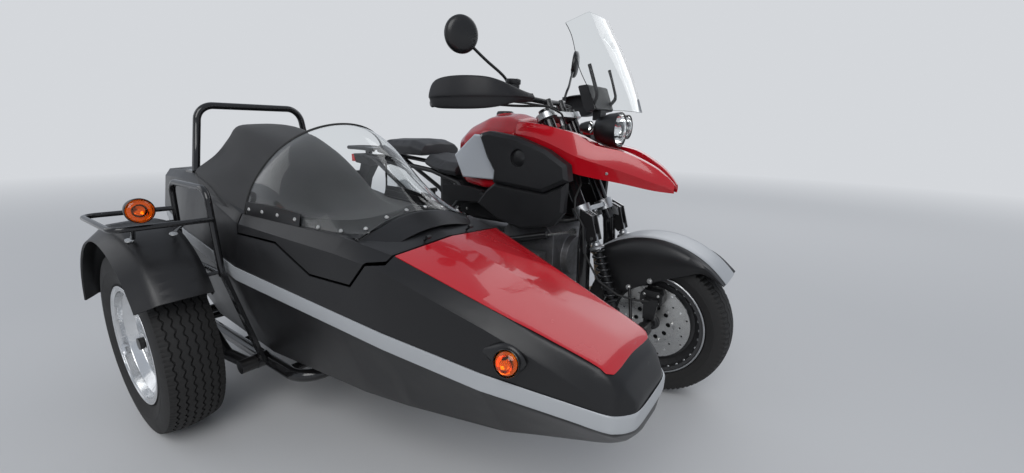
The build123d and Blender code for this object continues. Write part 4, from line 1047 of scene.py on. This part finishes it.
def padded_from(node, material, shrink, voxel):
    """Cushion swollen out of a CAD node's shape."""
    made = node_copy(node, node + "_pad", material)
    made = modified(made, ("REMESH", {"mode": "VOXEL", "voxel_size": voxel}))
    for vertex in made.data.vertices:
        vertex.co -= vertex.normal * shrink
    made = modified(made, ("SMOOTH", {"factor": 0.5, "iterations": 6}))
    rest = [v.co.copy() for v in made.data.vertices]
    cloth = made.modifiers.new("Cloth", "CLOTH")
    cloth.settings.use_pressure = True
    cloth.settings.uniform_pressure_force = 4.0
    cloth.settings.effector_weights.gravity = 0.0
    cloth.point_cache.frame_start, cloth.point_cache.frame_end = 1, SWELL_STEPS
    for step in range(1, SWELL_STEPS + 1):
        bpy.context.scene.frame_set(step)
    made = plain(made)
    for vertex, start in zip(made.data.vertices, rest):
        travel = vertex.co - start
        if travel.length > SWELL:
            vertex.co = start + travel * (SWELL / travel.length)
    bpy.context.scene.frame_set(1)
    made = modified(made, ("SMOOTH", {"factor": 0.5, "iterations": 3}),
                    ("SUBSURF", {"levels": 1, "render_levels": 1}))
    smoothed(made.data, 180)
    return coated(made, material)


class OUTFIT_OT_seats(bpy.types.Operator):
    """Rider and pillion cushions, and the sidecar's padded back"""
    bl_idname = "outfit.seats"
    bl_label = "Seats"

    def execute(self, context):
        for node, shrink, voxel in CUSHIONS:
            pad = padded_from(node, FINISH["vinyl"], shrink, voxel)
            placed(pad, HOME[node], (node,))
        return {"FINISHED"}


# Sidecar running gear

# Middle and outer radius of the sidecar mudguard's roof, and the turns and places across of its washers
ROOF_MIDDLE, ROOF_R = (285, 340), 377
ROOF_WASHERS = ((68, -1222), (68, -1330), (112, -1222), (112, -1330))


class OUTFIT_OT_sidecar_chassis(bpy.types.Operator):
    """Tubular frame, arm, roll bar, loop bar, rack and mudguard"""
    bl_idname = "outfit.sidecar_chassis"
    bl_label = "Sidecar chassis"

    def execute(self, context):
        dressed_all((("sidecar_frame", "tube", 1.0), ("sidecar_swingarm", "frame", 1.0),
                     ("roll_bar", "tube", 0), ("guard_rack", "tube", 1.0),
                     ("sidecar_mudguard", "guard", 1.2)))
        spots = []
        for angle, y in ROOF_WASHERS:
            c, s = math.cos(math.radians(angle)), math.sin(math.radians(angle))
            spots.append(((ROOF_MIDDLE[0] + ROOF_R * c, y, ROOF_MIDDLE[1] + ROOF_R * s), (c, 0, s)))
        fastened("mudguard_washers", WASHER, 24, spots, "chassis", 1.2)
        return {"FINISHED"}


# Motorcycle


# Columns: x, foot half width and z, belly half width and z, top half width and z, channel half width
BEAK = ((985, 166, 930, 176, 1004, 162, 1052, 151),
        (1040, 167, 918, 176, 996, 164, 1048, 152),
        (1095, 168, 905, 176, 985, 164, 1040, 152),
        (1170, 165, 884, 176, 960, 160, 1026, 140),
        (1250, 160, 858, 173, 928, 152, 1006, 112),
        (1320, 136, 843, 150, 905, 130, 967, 64),
        (1420, 96, 826, 111, 874, 95, 944, 56),
        (1520, 56, 806, 70, 839, 56, 896, 28),
        (1572, 32, 799, 42, 820, 32, 856, 16),
        (1599, 20, 797, 25, 806, 20, 826, 7))
DUCT_DEPTH = 34


def beak_side(side):
    """Painted skin of one prong: under edge, crease, rounded flank, rim and the channel's wall."""
    rows = []
    for x, w0, z0, w1, z1, w2, zt, c in spline_rows(BEAK, 6):
        line = [(w0, z0), (w1 - 1, z1 - 2), (w1, z1)]
        for k in range(1, 8):
            t = k / 8
            line.append(((1 - t) ** 2 * w1 + 2 * t * (1 - t) * (0.35 * w1 + 0.65 * w2 + 6) + t * t * w2,
                         (1 - t) ** 2 * z1 + 2 * t * (1 - t) * (0.35 * z1 + 0.65 * zt) + t * t * zt))
        deep = min(DUCT_DEPTH, (zt - z0) * 0.5)
        line += [(w2, zt), ((w2 + c) / 2, zt + 2.0), (c, zt), (c - 2, zt - 5), (c - 3, zt - deep)]
        rows.append([at(x, side * y, z) for y, z in line])
    return walled(from_rows("prong", rows, FINISH["red"], angle=30), 3, angle=30)


def duct():
    """Dark floor of the channel between the prongs."""
    rows = []
    for x, _, z0, _, _, _, zt, c in spline_rows(BEAK[4:9], 4):
        deep = min(DUCT_DEPTH, (zt - z0) * 0.5)
        rows.append([at(x, (c - 1) * u / 4, zt - deep + 2 - 5 * (1 - (u / 4) ** 2)) for u in range(-4, 5)])
    return walled(from_rows("beak_duct", rows, FINISH["plastic"]), 3)


# Columns: x, half width, lowest and highest
AIR_BOX = ((446, 76, 648, 800), (472, 89, 612, 797), (590, 91, 596, 777), (612, 91, 594, 752),
           (862, 91, 594, 750), (884, 78, 610, 738))
AIR_BOX_CORNER = 16


def air_box():
    """Moulded box between the frame tubes, under the seat's nose and the tank."""
    rows = []
    for x, w, low, high in AIR_BOX:
        c = AIR_BOX_CORNER
        ring = ((-w, low + c), (-w, high - c), (c - w, high), (w - c, high), (w, high - c), (w, low + c),
                (w - c, low), (c - w, low))
        rows.append([at(x, y, z) for y, z in ring])
    made = from_rows("air_box", rows, FINISH["plastic"], round_points=True, caps=True, angle=30)
    return modified(made, ("BEVEL", {"width": 0.005, "segments": 3, "angle_limit": math.radians(25)}))


TANK_CAP = ((0, 13), (30, 13), (36, 11), (38, 7), (40, 3), (41, -2))
BADGE = ((0, 6), (20, 5.4), (31, 3), (33, 0), (33, -6))
# Columns: place and facing of each pair, on the left side
BADGE_SPOT = (1035, 219, 908, 0, 1, 0)
COVER_SCREW = (846, 230, 992, 0, 1, 0.3)
BOX_SCREWS = ((560, 91.5, 752, 0, 1, 0), (700, 91.5, 726, 0, 1, 0), (640, 91.5, 640, 0, 1, 0))
BEAK_SCREW = (1372, 123, 862, 0.2, 1, -0.3)


class OUTFIT_OT_bike_body(bpy.types.Operator):
    """Tank, side covers, trims, beak and the box under the seat"""
    bl_idname = "outfit.bike_body"
    bl_label = "Motorcycle body"

    def execute(self, context):
        placed(softened("fuel_tank", "red", 0.006, 55), "chassis", ("fuel_tank",))
        cap = turned("tank_cap", TANK_CAP, (800, 0, 1088), (0, 0, 1), "smooth_plastic")
        placed(cap, "chassis")
        placed(both_sides("beak_skin", beak_side), "chassis", ("beak",))
        placed(duct(), "chassis")
        placed(air_box(), "chassis")
        dressed("side_covers", "plastic", 5.0, segments=4)
        dressed("side_trims", "panel", 3.0, segments=3)
        badges = headed("plain_badges", BADGE, 40, pairs(BADGE_SPOT), "smooth_plastic")
        placed(badges, "chassis")
        spots = pairs(COVER_SCREW) + pairs(*BOX_SCREWS) + pairs(BEAK_SCREW)
        fastened("bike_body_screws", DOME_HEAD, 12, spots, "chassis", 1.2)
        return {"FINISHED"}


class OUTFIT_OT_bike_chassis(bpy.types.Operator):
    """Frame, engine, exhaust, arm, pegs and the tail of the motorcycle"""
    bl_idname = "outfit.bike_chassis"
    bl_label = "Motorcycle chassis"

    def execute(self, context):
        dressed_all((("bike_frame", "frame", 1.0), ("engine_block", "dark_alloy", 4.0),
                     ("swingarm", "frame", 2.0), ("footpegs", "rubber", 1.0), ("rear_rack", "frame", 1.0),
                     ("rear_mudguard", "plastic", 2.0), ("tail_lamps", "red_lens", 1.5),
                     ("wishbone", "frame", 1.0), ("damper_cylinder", "smooth_plastic", 0.8),
                     ("damper_rod", "steel", 0.5)))
        heads = repainted(refined("cylinders", "dark_alloy"), "alloy", lambda x, y, z: abs(y) > 222)
        placed(heads, "chassis", ("cylinders",))
        exhaust = repainted(refined("exhaust", "bronze_pipe"), "steel", lambda x, y, z: x < 420)
        placed(exhaust, "chassis", ("exhaust",))
        return {"FINISHED"}


GUARD_MIDDLE = (1556, 289)
GUARD_R = 347
# Columns: angle of the roof above the axle's level, then x and z of the flank's lower edge
FRONT_GUARD = ((39, 1812, 507), (46, 1778, 522), (54, 1738, 533), (64, 1678, 510), (76, 1610, 480),
               (90, 1540, 446), (102, 1484, 414), (112, 1436, 402), (121, 1394, 424), (126, 1368, 462))
# Columns: share of the flank, half width, lift in millimetres
GUARD_SKIN = ((0, 0, -3), (0, 45, -3), (0, 74, -5), (0.05, 92, -6), (0.14, 102, -2), (0.34, 109, 0),
              (0.6, 109, 0), (0.85, 104, 0), (1, 99, 0))
GUARD_BAND = ((0, 0, 0), (0, 45, -0.4), (0, 68, -1.6), (0.012, 76, -3.4))
# The left side's stay, and place and facing of its bolts
GUARD_STAY = ((1490, 106, 426), (1504, 118, 380), (1520, 144, 302))
GUARD_BOLTS = ((1486, 104.5, 428, 0, 1, 0), (1566, 105.5, 470, 0, 1, 0))


def guard_skin(name, finish, points):
    """Skin across the front mudguard through points of the columns above."""
    rows = []
    for angle, x, z in spline_rows(FRONT_GUARD, 5):
        c, s = math.cos(math.radians(angle)), math.sin(math.radians(angle))
        crown = Vector((GUARD_MIDDLE[0] + GUARD_R * c, 0, GUARD_MIDDLE[1] + GUARD_R * s))
        out = Vector((c, 0, s))
        half = [(crown.lerp(Vector((x, 0, z)), share) + out * lift, width) for share, width, lift in points]
        rows.append([at(p.x, -w, p.z) for p, w in reversed(half)] + [at(p.x, w, p.z) for p, w in half if w])
    return from_rows(name, rows, FINISH[finish], angle=50)


# The spring unit's ends on the left side, and its profiles of (radius, distance down from the top)
SHOCK_TOP, SHOCK_LOW = (1344, 138, 612), (1452, 138, 330)
DAMPER = ((0, 0), (9, 0), (9, 60), (15, 62), (15, 268), (9, 270), (9, 302), (0, 302))
COLLARS = ((22, "alloy", ((8, 0), (17, 0), (18, 10), (27, 14), (30, 18), (30, 24), (12, 24))),
           (250, "smooth_plastic", ((12, 0), (30, 0), (30, 6), (20, 12), (12, 14))),
           (-12, "alloy", ((0, 0), (13, 0), (15, 8), (15, 30), (9, 36))))
EYE = ((0, -17), (13, -17), (14, -15), (14, 15), (13, 17), (0, 17))
EYE_BOLT = ((0, 25), (7, 25), (8, 23), (8, 15))


def shock(side):
    """Spring unit: damper, wound spring, seats, top eye and lower eye."""
    top, low = on_side(side, (SHOCK_TOP, SHOCK_LOW))
    along = (low - top).normalized()
    parts = [turned("damper", DAMPER, top, along, "smooth_plastic", 24)]
    for start, finish, profile in COLLARS:
        parts.append(turned("collar", profile, top + along * start, along, finish, 32))
    coil = grown(seed_mesh("coil"), "Coil spring", 180, Turns=8.0, Radius=0.0245, Length=0.206, Wire=0.0046,
                 Finish=FINISH["tube"])
    spin = Vector((0, 0, 1)).rotation_difference(along).to_matrix().to_4x4()
    coil.data.transform(Matrix.Translation(at(*(top + along * 45))) @ spin)
    parts.append(coil)
    for place, finish in ((top, "alloy"), (low, "smooth_plastic")):
        parts.append(turned("eye", EYE, place, (0, 1, 0), finish, 28))
        parts.append(turned("eye_bolt", EYE_BOLT, place, (0, side, 0), "steel", 6))
    return merged("shock", parts)


def guard_stay(side):
    return tube("stay", on_side(side, GUARD_STAY), 6, FINISH["frame"])


class OUTFIT_OT_front_end(bpy.types.Operator):
    """Fork, clamps, link, spring units, mudguard, caliper and hose"""
    bl_idname = "outfit.front_end"
    bl_label = "Front suspension and brake"

    def execute(self, context):
        dressed_all((("fork_legs", "tube", 0), ("leading_link", "frame", 1.0),
                     ("brake_caliper", "smooth_plastic", 1.5), ("brake_hose", "rubber", 0)))
        clamps = repainted(refined("fork_clamps", "alloy", 1.6), "frame", lambda x, y, z: z < 676 or x > 1322)
        placed(clamps, "steering", ("fork_clamps",))
        placed(both_sides("front_spring_units", shock), "steering", ("front_shocks",))
        guard = guard_skin("front_guard_skin", "guard", GUARD_SKIN)
        placed(walled(guard, 3.5), "steering", ("front_mudguard",))
        band = guard_skin("front_guard_band", "silver", GUARD_BAND)
        placed(walled(band, 2.0), "steering")
        placed(both_sides("front_guard_stays", guard_stay), "steering")
        fastened("front_guard_washers", WASHER, 20, pairs(*GUARD_BOLTS), "steering", 1.1)
        fastened("front_guard_bolts", HEX_HEAD, 6, pairs(*GUARD_BOLTS), "steering", 0.9)
        spots = [((x, -92, z), (0, -1, 0)) for z in (384, 412) for x in (1546, 1600)]
        fastened("caliper_bolts", HEX_HEAD, 6, spots, "steering", 0.8, 5)
        return {"FINISHED"}


# Columns: x and y of the right shield's line from the bar's end inwards, lower and upper height
HAND_GUARD = ((800, -468, 1122, 1146), (808, -482, 1106, 1168), (832, -492, 1096, 1186),
              (870, -497, 1091, 1197), (930, -493, 1089, 1202), (995, -471, 1089, 1202),
              (1046, -433, 1093, 1198), (1078, -388, 1102, 1186), (1097, -340, 1114, 1170),
              (1107, -290, 1121, 1158), (1110, -238, 1124, 1150))
# Down a section: way behind the line as a share of the reach and in millimetres, share of the height
SHIELD_SECTION = ((1.0, 0, 0.94), (0.5, 0, 1.0), (0, 6, 0.985), (0, 1, 0.88), (0, -3, 0.66), (0, -5, 0.42),
                  (0, -2, 0.34), (0, 1, 0.16), (0, 5, 0.02), (0, 13, 0.0), (0.7, 0, 0.03))
# Reach of the rolled roof as a share of the height
SHIELD_REACH = 0.42


def hand_guard(side):
    """Moulded shield ahead of a grip, with a rolled roof and a lower lip."""
    rows = []
    last = len(HAND_GUARD) - 1
    for i, (x, y, low, high) in enumerate(HAND_GUARD):
        before, after = HAND_GUARD[max(i - 1, 0)], HAND_GUARD[min(i + 1, last)]
        along = Vector((after[0] - before[0], after[1] - before[1])).normalized()
        inward = Vector((-along.y, along.x))
        tall = high - low
        reach = SHIELD_REACH * tall
        row = []
        for share, more, rise in SHIELD_SECTION:
            depth = reach * share + more
            row.append(Vector((x + inward.x * depth, side * -(y + inward.y * depth), low + tall * rise)))
        rows.append(row)
    return walled(from_rows("guard", placed_rows(smooth_grid(rows, 5, 3)), FINISH["plastic"], angle=50), 3)


# The left mirror: middle of the glass, foot and joint of the stem, and profiles of (radius, distance ahead)
MIRROR_MIDDLE, MIRROR_FOOT, MIRROR_JOINT = (925, 430, 1345), (982, 224, 1160), (928, 398, 1316)
MIRROR_BACK = ((62, -14), (64, -11), (64.5, -5), (63, 2), (57, 8), (44, 12.5), (24, 15), (0, 15.6))
MIRROR_GLASS = ((0, -12.5), (60, -12.5), (62, -13.6))
MIRROR_STEM = (MIRROR_FOOT, (986, 234, 1196), (984, 262, 1222), (950, 340, 1274), (932, 394, 1316))
MIRROR_BALL = ((0, -12), (9, -9), (12, 0), (12, 10), (7, 22), (0, 24))
MIRROR_NUT = ((0, -12), (11, -12), (11, 10), (9, 12), (0, 12))


def mirror(side):
    """Round mirror with a domed back, on a bent stem."""
    middle, foot, joint = on_side(side, (MIRROR_MIDDLE, MIRROR_FOOT, MIRROR_JOINT))
    ahead = Vector((1, side * 0.42, -0.12)).normalized()
    return merged("mirror", [
        turned("mirror", MIRROR_BACK, middle, ahead, "smooth_plastic", 64, 40),
        turned("glass", MIRROR_GLASS, middle, ahead, "mirror", 64),
        tube("stem", on_side(side, MIRROR_STEM), 5.6, FINISH["smooth_plastic"]),
        turned("ball", MIRROR_BALL, joint, (-0.1, side * 0.6, 0.7), "smooth_plastic", 24, 60),
        turned("nut", MIRROR_NUT, foot, (0, 0, 1), "smooth_plastic", 6)])


BAR_WEIGHT = ((0, 24), (10, 24), (13, 20), (14, 0), (0, 0))
FLUID_CUP = ((0, 52), (26, 52), (29, 49), (29, 36), (28, 33), (25, 32), (25, 5), (22, 0), (0, 0))
CUP_X, CUP_Y, CUP_FOOT, CUP_TOP = 1020, -250, 1155, 1207.5
# Control points of each cable from the bar's end to its middle, mirrored for the other side
CABLES = (((906, -366, 1120), (975, -300, 1112), (1035, -190, 1112), (1085, -90, 1118), (1098, -30, 1104)),
          ((880, -380, 1126), (955, -310, 1112), (1020, -200, 1108), (1070, -110, 1114), (1088, -40, 1112)))
CABLE_R = 3.2


def bar_weight(side):
    return turned("weight", BAR_WEIGHT, (815, side * 455, 1112), (-0.52, side, -0.2), "smooth_plastic", 32)


class OUTFIT_OT_controls(bpy.types.Operator):
    """Handlebar, grips, hand guards, mirrors and cables"""
    bl_idname = "outfit.controls"
    bl_label = "Handlebar and controls"

    def execute(self, context):
        dressed_all((("handlebar", "frame", 0.8), ("grips", "rubber", 1.0),
                     ("instrument_cluster", "plastic", 2.0)))
        placed(both_sides("hand_guard_shells", hand_guard), "steering", ("hand_guards",))
        placed(both_sides("bar_weights", bar_weight), "steering")
        placed(both_sides("mirror_pair", mirror), "steering", ("mirrors",))
        cup = turned("fluid_cup", FLUID_CUP, (CUP_X, CUP_Y, CUP_FOOT), (0.05, 0, 1), "smooth_plastic", 40)
        spots = [((CUP_X + dx, CUP_Y, CUP_TOP), (0, 0, 1)) for dx in (-19, 21)]
        screws = headed("cup_screws", DOME_HEAD, 12, spots, size=0.7)
        placed(merged("bar_fluid_cup", [cup, screws]), "steering")
        cables = [tube("cable", on_side(side, line), CABLE_R, FINISH["rubber"])
                  for line in CABLES for side in (1, -1)]
        placed(merged("bar_cables", cables), "steering")
        return {"FINISHED"}


# Columns: height, centre x and half width, wing x and half width, drop of the wing's corner
WIND_SCREEN = ((1092, 1412, 96, 1350, 196, 0), (1166, 1384, 101, 1318, 208, 0),
               (1240, 1352, 104, 1280, 214, 0), (1344, 1300, 100, 1238, 196, 0),
               (1446, 1244, 92, 1194, 168, 46))


class OUTFIT_OT_wind_screen(bpy.types.Operator):
    """Clear three-plane wind screen"""
    bl_idname = "outfit.wind_screen"
    bl_label = "Wind screen"

    def execute(self, context):
        net = []
        for z, x, w, wing_x, wing_w, drop in WIND_SCREEN:
            half = ((wing_x, wing_w, z - drop), (x - 10, w + 12, z - drop * 0.2), (x, w - 6, z))
            net.append([Vector((px, -py, pz)) for px, py, pz in half] + [Vector((x + 6, 0, z))]
                       + [Vector(place) for place in reversed(half)])
        pane = from_rows("wind_screen_pane", placed_rows(spline_rows(net, 6)), FINISH["screen"], angle=180)
        placed(walled(pane, 4, 0.0), "chassis", ("bike_screen",))
        return {"FINISHED"}


# Columns: name, middle of the lens rim, facing, radius, depth, lens, rise of the lens
LAMPS = (("main_lamp", (1388, -58, 1024), (1, 0, 0), 63, 100, "lens", 10),
         ("second_lamp", (1370, 62, 1036), (1, 0, 0), 46, 86, "lens", 7),
         ("indicator_right", (1306, -146, 1032), (1, 0, 0), 22, 42, "lens", 6),
         ("indicator_left", (1306, 146, 1032), (1, 0, 0), 22, 42, "lens", 6),
         ("rack_lamp", (560, -1325, 792), (1, 0, 0), 33, 50, "amber", 9),
         ("nose_lamp_right", (1568, BODY_Y - 205, 548), (0.15, -1, 0.2), 30, 14, "amber", 12),
         ("nose_lamp_left", (1568, BODY_Y + 205, 548), (0.15, 1, 0.2), 30, 14, "amber", 12))


def lamp_set(name, place, facing, r, depth, lens, dome):
    """Round lamp: hollow housing, reflector and domed lens."""
    housing = ((0, -depth), (r * 0.45, -depth), (r * 0.7, -depth * 0.9), (r * 0.95, -depth * 0.45),
               (r * 1.04, -4), (r * 1.04, 1.5), (r * 0.99, 2.5), (r * 0.95, 0), (r * 0.93, -6))
    bowl = ((0, -depth * 0.62), (r * 0.3, -depth * 0.6), (r * 0.66, -depth * 0.38), (r * 0.93, -5))
    glass = ((r * 0.955, -2), (r * 0.95, 0.6), (r * 0.7, dome * 0.55), (r * 0.36, dome * 0.9), (0, dome),
             (0, dome - 2), (r * 0.7, dome * 0.55 - 2), (r * 0.94, -2))
    for part, profile, finish, angle in (("_housing", housing, "smooth_plastic", 40),
                                         ("_reflector", bowl, "mirror", 60), ("_lens", glass, lens, 180)):
        placed(turned(name + part, profile, place, facing, finish, 56, angle), "chassis")


# The nose lamp's moulding: its rear end, length, widest half, highest rise, offset and height on the body
BASE_X, BASE_LENGTH, BASE_HALF, BASE_RISE, BASE_Y, BASE_Z = 1486, 116, 34, 13, 184, 548


def lamp_base(side):
    """Teardrop moulding that carries a nose lamp on the sidecar's flank."""
    rows = []
    for t in [k / 20 for k in range(21)]:
        width = max(BASE_HALF * math.sin(math.pi * t ** 1.45) ** 0.7, 0.6)
        rise = BASE_RISE * math.sin(math.pi * t ** 1.2) ** 0.6 + 0.5
        x = BASE_X + BASE_LENGTH * t
        skew = (x - 1560) * 0.13
        rows.append([at(x, BODY_Y + side * (BASE_Y - skew + rise * math.sin(a)),
                        BASE_Z + width * math.cos(a) - skew * 0.3)
                     for a in [math.pi * j / 14 for j in range(15)]])
    return from_rows("base", rows, FINISH["smooth_plastic"], round_points=True, caps=True, angle=50)


class OUTFIT_OT_lamps(bpy.types.Operator):
    """Headlamps, indicators and the lamps of the sidecar"""
    bl_idname = "outfit.lamps"
    bl_label = "Lamps"

    def execute(self, context):
        for row in LAMPS:
            lamp_set(*row)
        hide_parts("headlamp")
        placed(both_sides("nose_lamp_bases", lamp_base), "chassis")
        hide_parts("indicators")
        return {"FINISHED"}


# Stage

BACKDROP = (0.66, 0.68, 0.71, 1)
ROOM_LIGHT = (0.42, 0.45, 0.50, 1)
# Distances from the origin over which the floor fades into the backdrop, and half the floor's size
FADE_START, FADE_END, FLOOR_HALF = 2.5, 11.0, 60
CAMERA_PLACE = (2048.4, -1680.3, 1020.8)
# The camera's angles below the horizon, from the X axis and about its own line of sight, in radians
CAMERA_PITCH, CAMERA_YAW, CAMERA_ROLL = 0.2414, 2.1909, 0.015
LIGHT_AIM = Vector((0, -0.1, 0.5))
# Columns: name, place, size in metres, share of the key light's power
LIGHTS = (("key", (2.2, -3.2, 3.6), 3.0, 1.0), ("fill", (-3.5, -3.0, 3.0), 3.0, 0.22),
          ("back", (0.5, 4.5, 3.6), 4.0, 0.5))


def camera_axes():
    """The camera's right, up and backward directions."""
    flat, sunk = math.cos(CAMERA_PITCH), -math.sin(CAMERA_PITCH)
    ahead = Vector((math.cos(CAMERA_YAW) * flat, math.sin(CAMERA_YAW) * flat, sunk))
    right = Vector((math.sin(CAMERA_YAW), -math.cos(CAMERA_YAW), 0))
    up = right.cross(ahead)
    c, s = math.cos(CAMERA_ROLL), math.sin(CAMERA_ROLL)
    return c * right + s * up, c * up - s * right, -ahead


def floor_material(grey):
    """Matt floor that fades into the backdrop with its distance."""
    material, shade, surface = new_material("Floor", Base_Color=(grey, grey, grey, 1), Roughness=0.7)
    where = shade.out("ShaderNodeTexCoord", which="Object")
    far = shade.out("ShaderNodeVectorMath", {0: where}, "Value", operation="LENGTH")
    glow = shade.out("ShaderNodeEmission", {"Color": BACKDROP})
    blend = shade.out("ShaderNodeMixShader", {0: shade.band(far, FADE_START, FADE_END), 1: surface.outputs[0],
                                              2: glow})
    shade.fill(material.node_tree.nodes["Material Output"].inputs, {"Surface": blend})
    return material


class OUTFIT_OT_stage(bpy.types.Operator):
    """Floor, soft lamps and the photographed view"""
    bl_idname = "outfit.stage"
    bl_label = "Stage, light and camera"

    def execute(self, context):
        scene = context.scene
        settings = scene.outfit_stage
        camera = linked("view", bpy.data.cameras.new("view"))
        camera.data.lens = settings.lens
        camera.data.sensor_width = 36
        camera.data.clip_start = 0.02
        axes = Matrix(camera_axes()).transposed().to_4x4()
        axes.translation = at(*CAMERA_PLACE)
        camera.matrix_world = axes
        scene.camera = camera
        half = (-FLOOR_HALF, FLOOR_HALF)
        floor = from_rows("floor", [[Vector((x, y, -0.0005)) for y in half] for x in half],
                          floor_material(settings.floor_grey))
        world = bpy.data.worlds.new("studio")
        scene.world = world
        world.use_nodes = True
        sky = Shade(world.node_tree)
        path = sky.node("ShaderNodeLightPath").outputs
        seen = sky.math("MAXIMUM", path["Is Camera Ray"], path["Is Transmission Ray"])
        sky.fill(world.node_tree.nodes["Background"].inputs, {"Color": sky.mix(seen, ROOM_LIGHT, BACKDROP)})
        for name, place, size, share in LIGHTS:
            lamp = linked(name, bpy.data.lights.new(name, "AREA"))
            lamp.data.energy = settings.key_power * share
            lamp.data.size = size
            lamp.location = place
            lamp.rotation_euler = (LIGHT_AIM - Vector(place)).to_track_quat("-Z", "Y").to_euler()
        scene.view_settings.view_transform = "Standard"
        return {"FINISHED"}


STEPS = (OUTFIT_OT_finishes, OUTFIT_OT_tyres, OUTFIT_OT_wheels, OUTFIT_OT_sidecar_body,
         OUTFIT_OT_sidecar_screen, OUTFIT_OT_seats, OUTFIT_OT_cover, OUTFIT_OT_sidecar_chassis,
         OUTFIT_OT_bike_body, OUTFIT_OT_bike_chassis, OUTFIT_OT_front_end, OUTFIT_OT_controls,
         OUTFIT_OT_wind_screen, OUTFIT_OT_lamps, OUTFIT_OT_stage)
SETTINGS = (PaintSettings, TyreSettings, StageSettings)


class OUTFIT_PT_panel(bpy.types.Panel):
    """Lists the steps that build the outfit's looks"""
    bl_label = "Sidecar outfit"
    bl_idname = "OUTFIT_PT_panel"
    bl_space_type = "VIEW_3D"
    bl_region_type = "UI"
    bl_category = "Outfit"

    def draw(self, context):
        scene = context.scene
        for group in (scene.outfit_paint, scene.outfit_tyres, scene.outfit_stage):
            for key in group.bl_rna.properties.keys():
                if key not in ("rna_type", "name"):
                    self.layout.prop(group, key)
        for step in STEPS:
            self.layout.operator(step.bl_idname)


def register():
    for kind in (*SETTINGS, *STEPS, OUTFIT_PT_panel):
        bpy.utils.register_class(kind)
    bpy.types.Scene.outfit_paint = PointerProperty(type=PaintSettings)
    bpy.types.Scene.outfit_tyres = PointerProperty(type=TyreSettings)
    bpy.types.Scene.outfit_stage = PointerProperty(type=StageSettings)


def unregister():
    del bpy.types.Scene.outfit_paint
    del bpy.types.Scene.outfit_tyres
    del bpy.types.Scene.outfit_stage
    for kind in reversed((*SETTINGS, *STEPS, OUTFIT_PT_panel)):
        bpy.utils.unregister_class(kind)


def main():
    register()
    for step in STEPS:
        group, name = step.bl_idname.split(".")
        getattr(getattr(bpy.ops, group), name)()


if __name__ == "__main__":
    main()
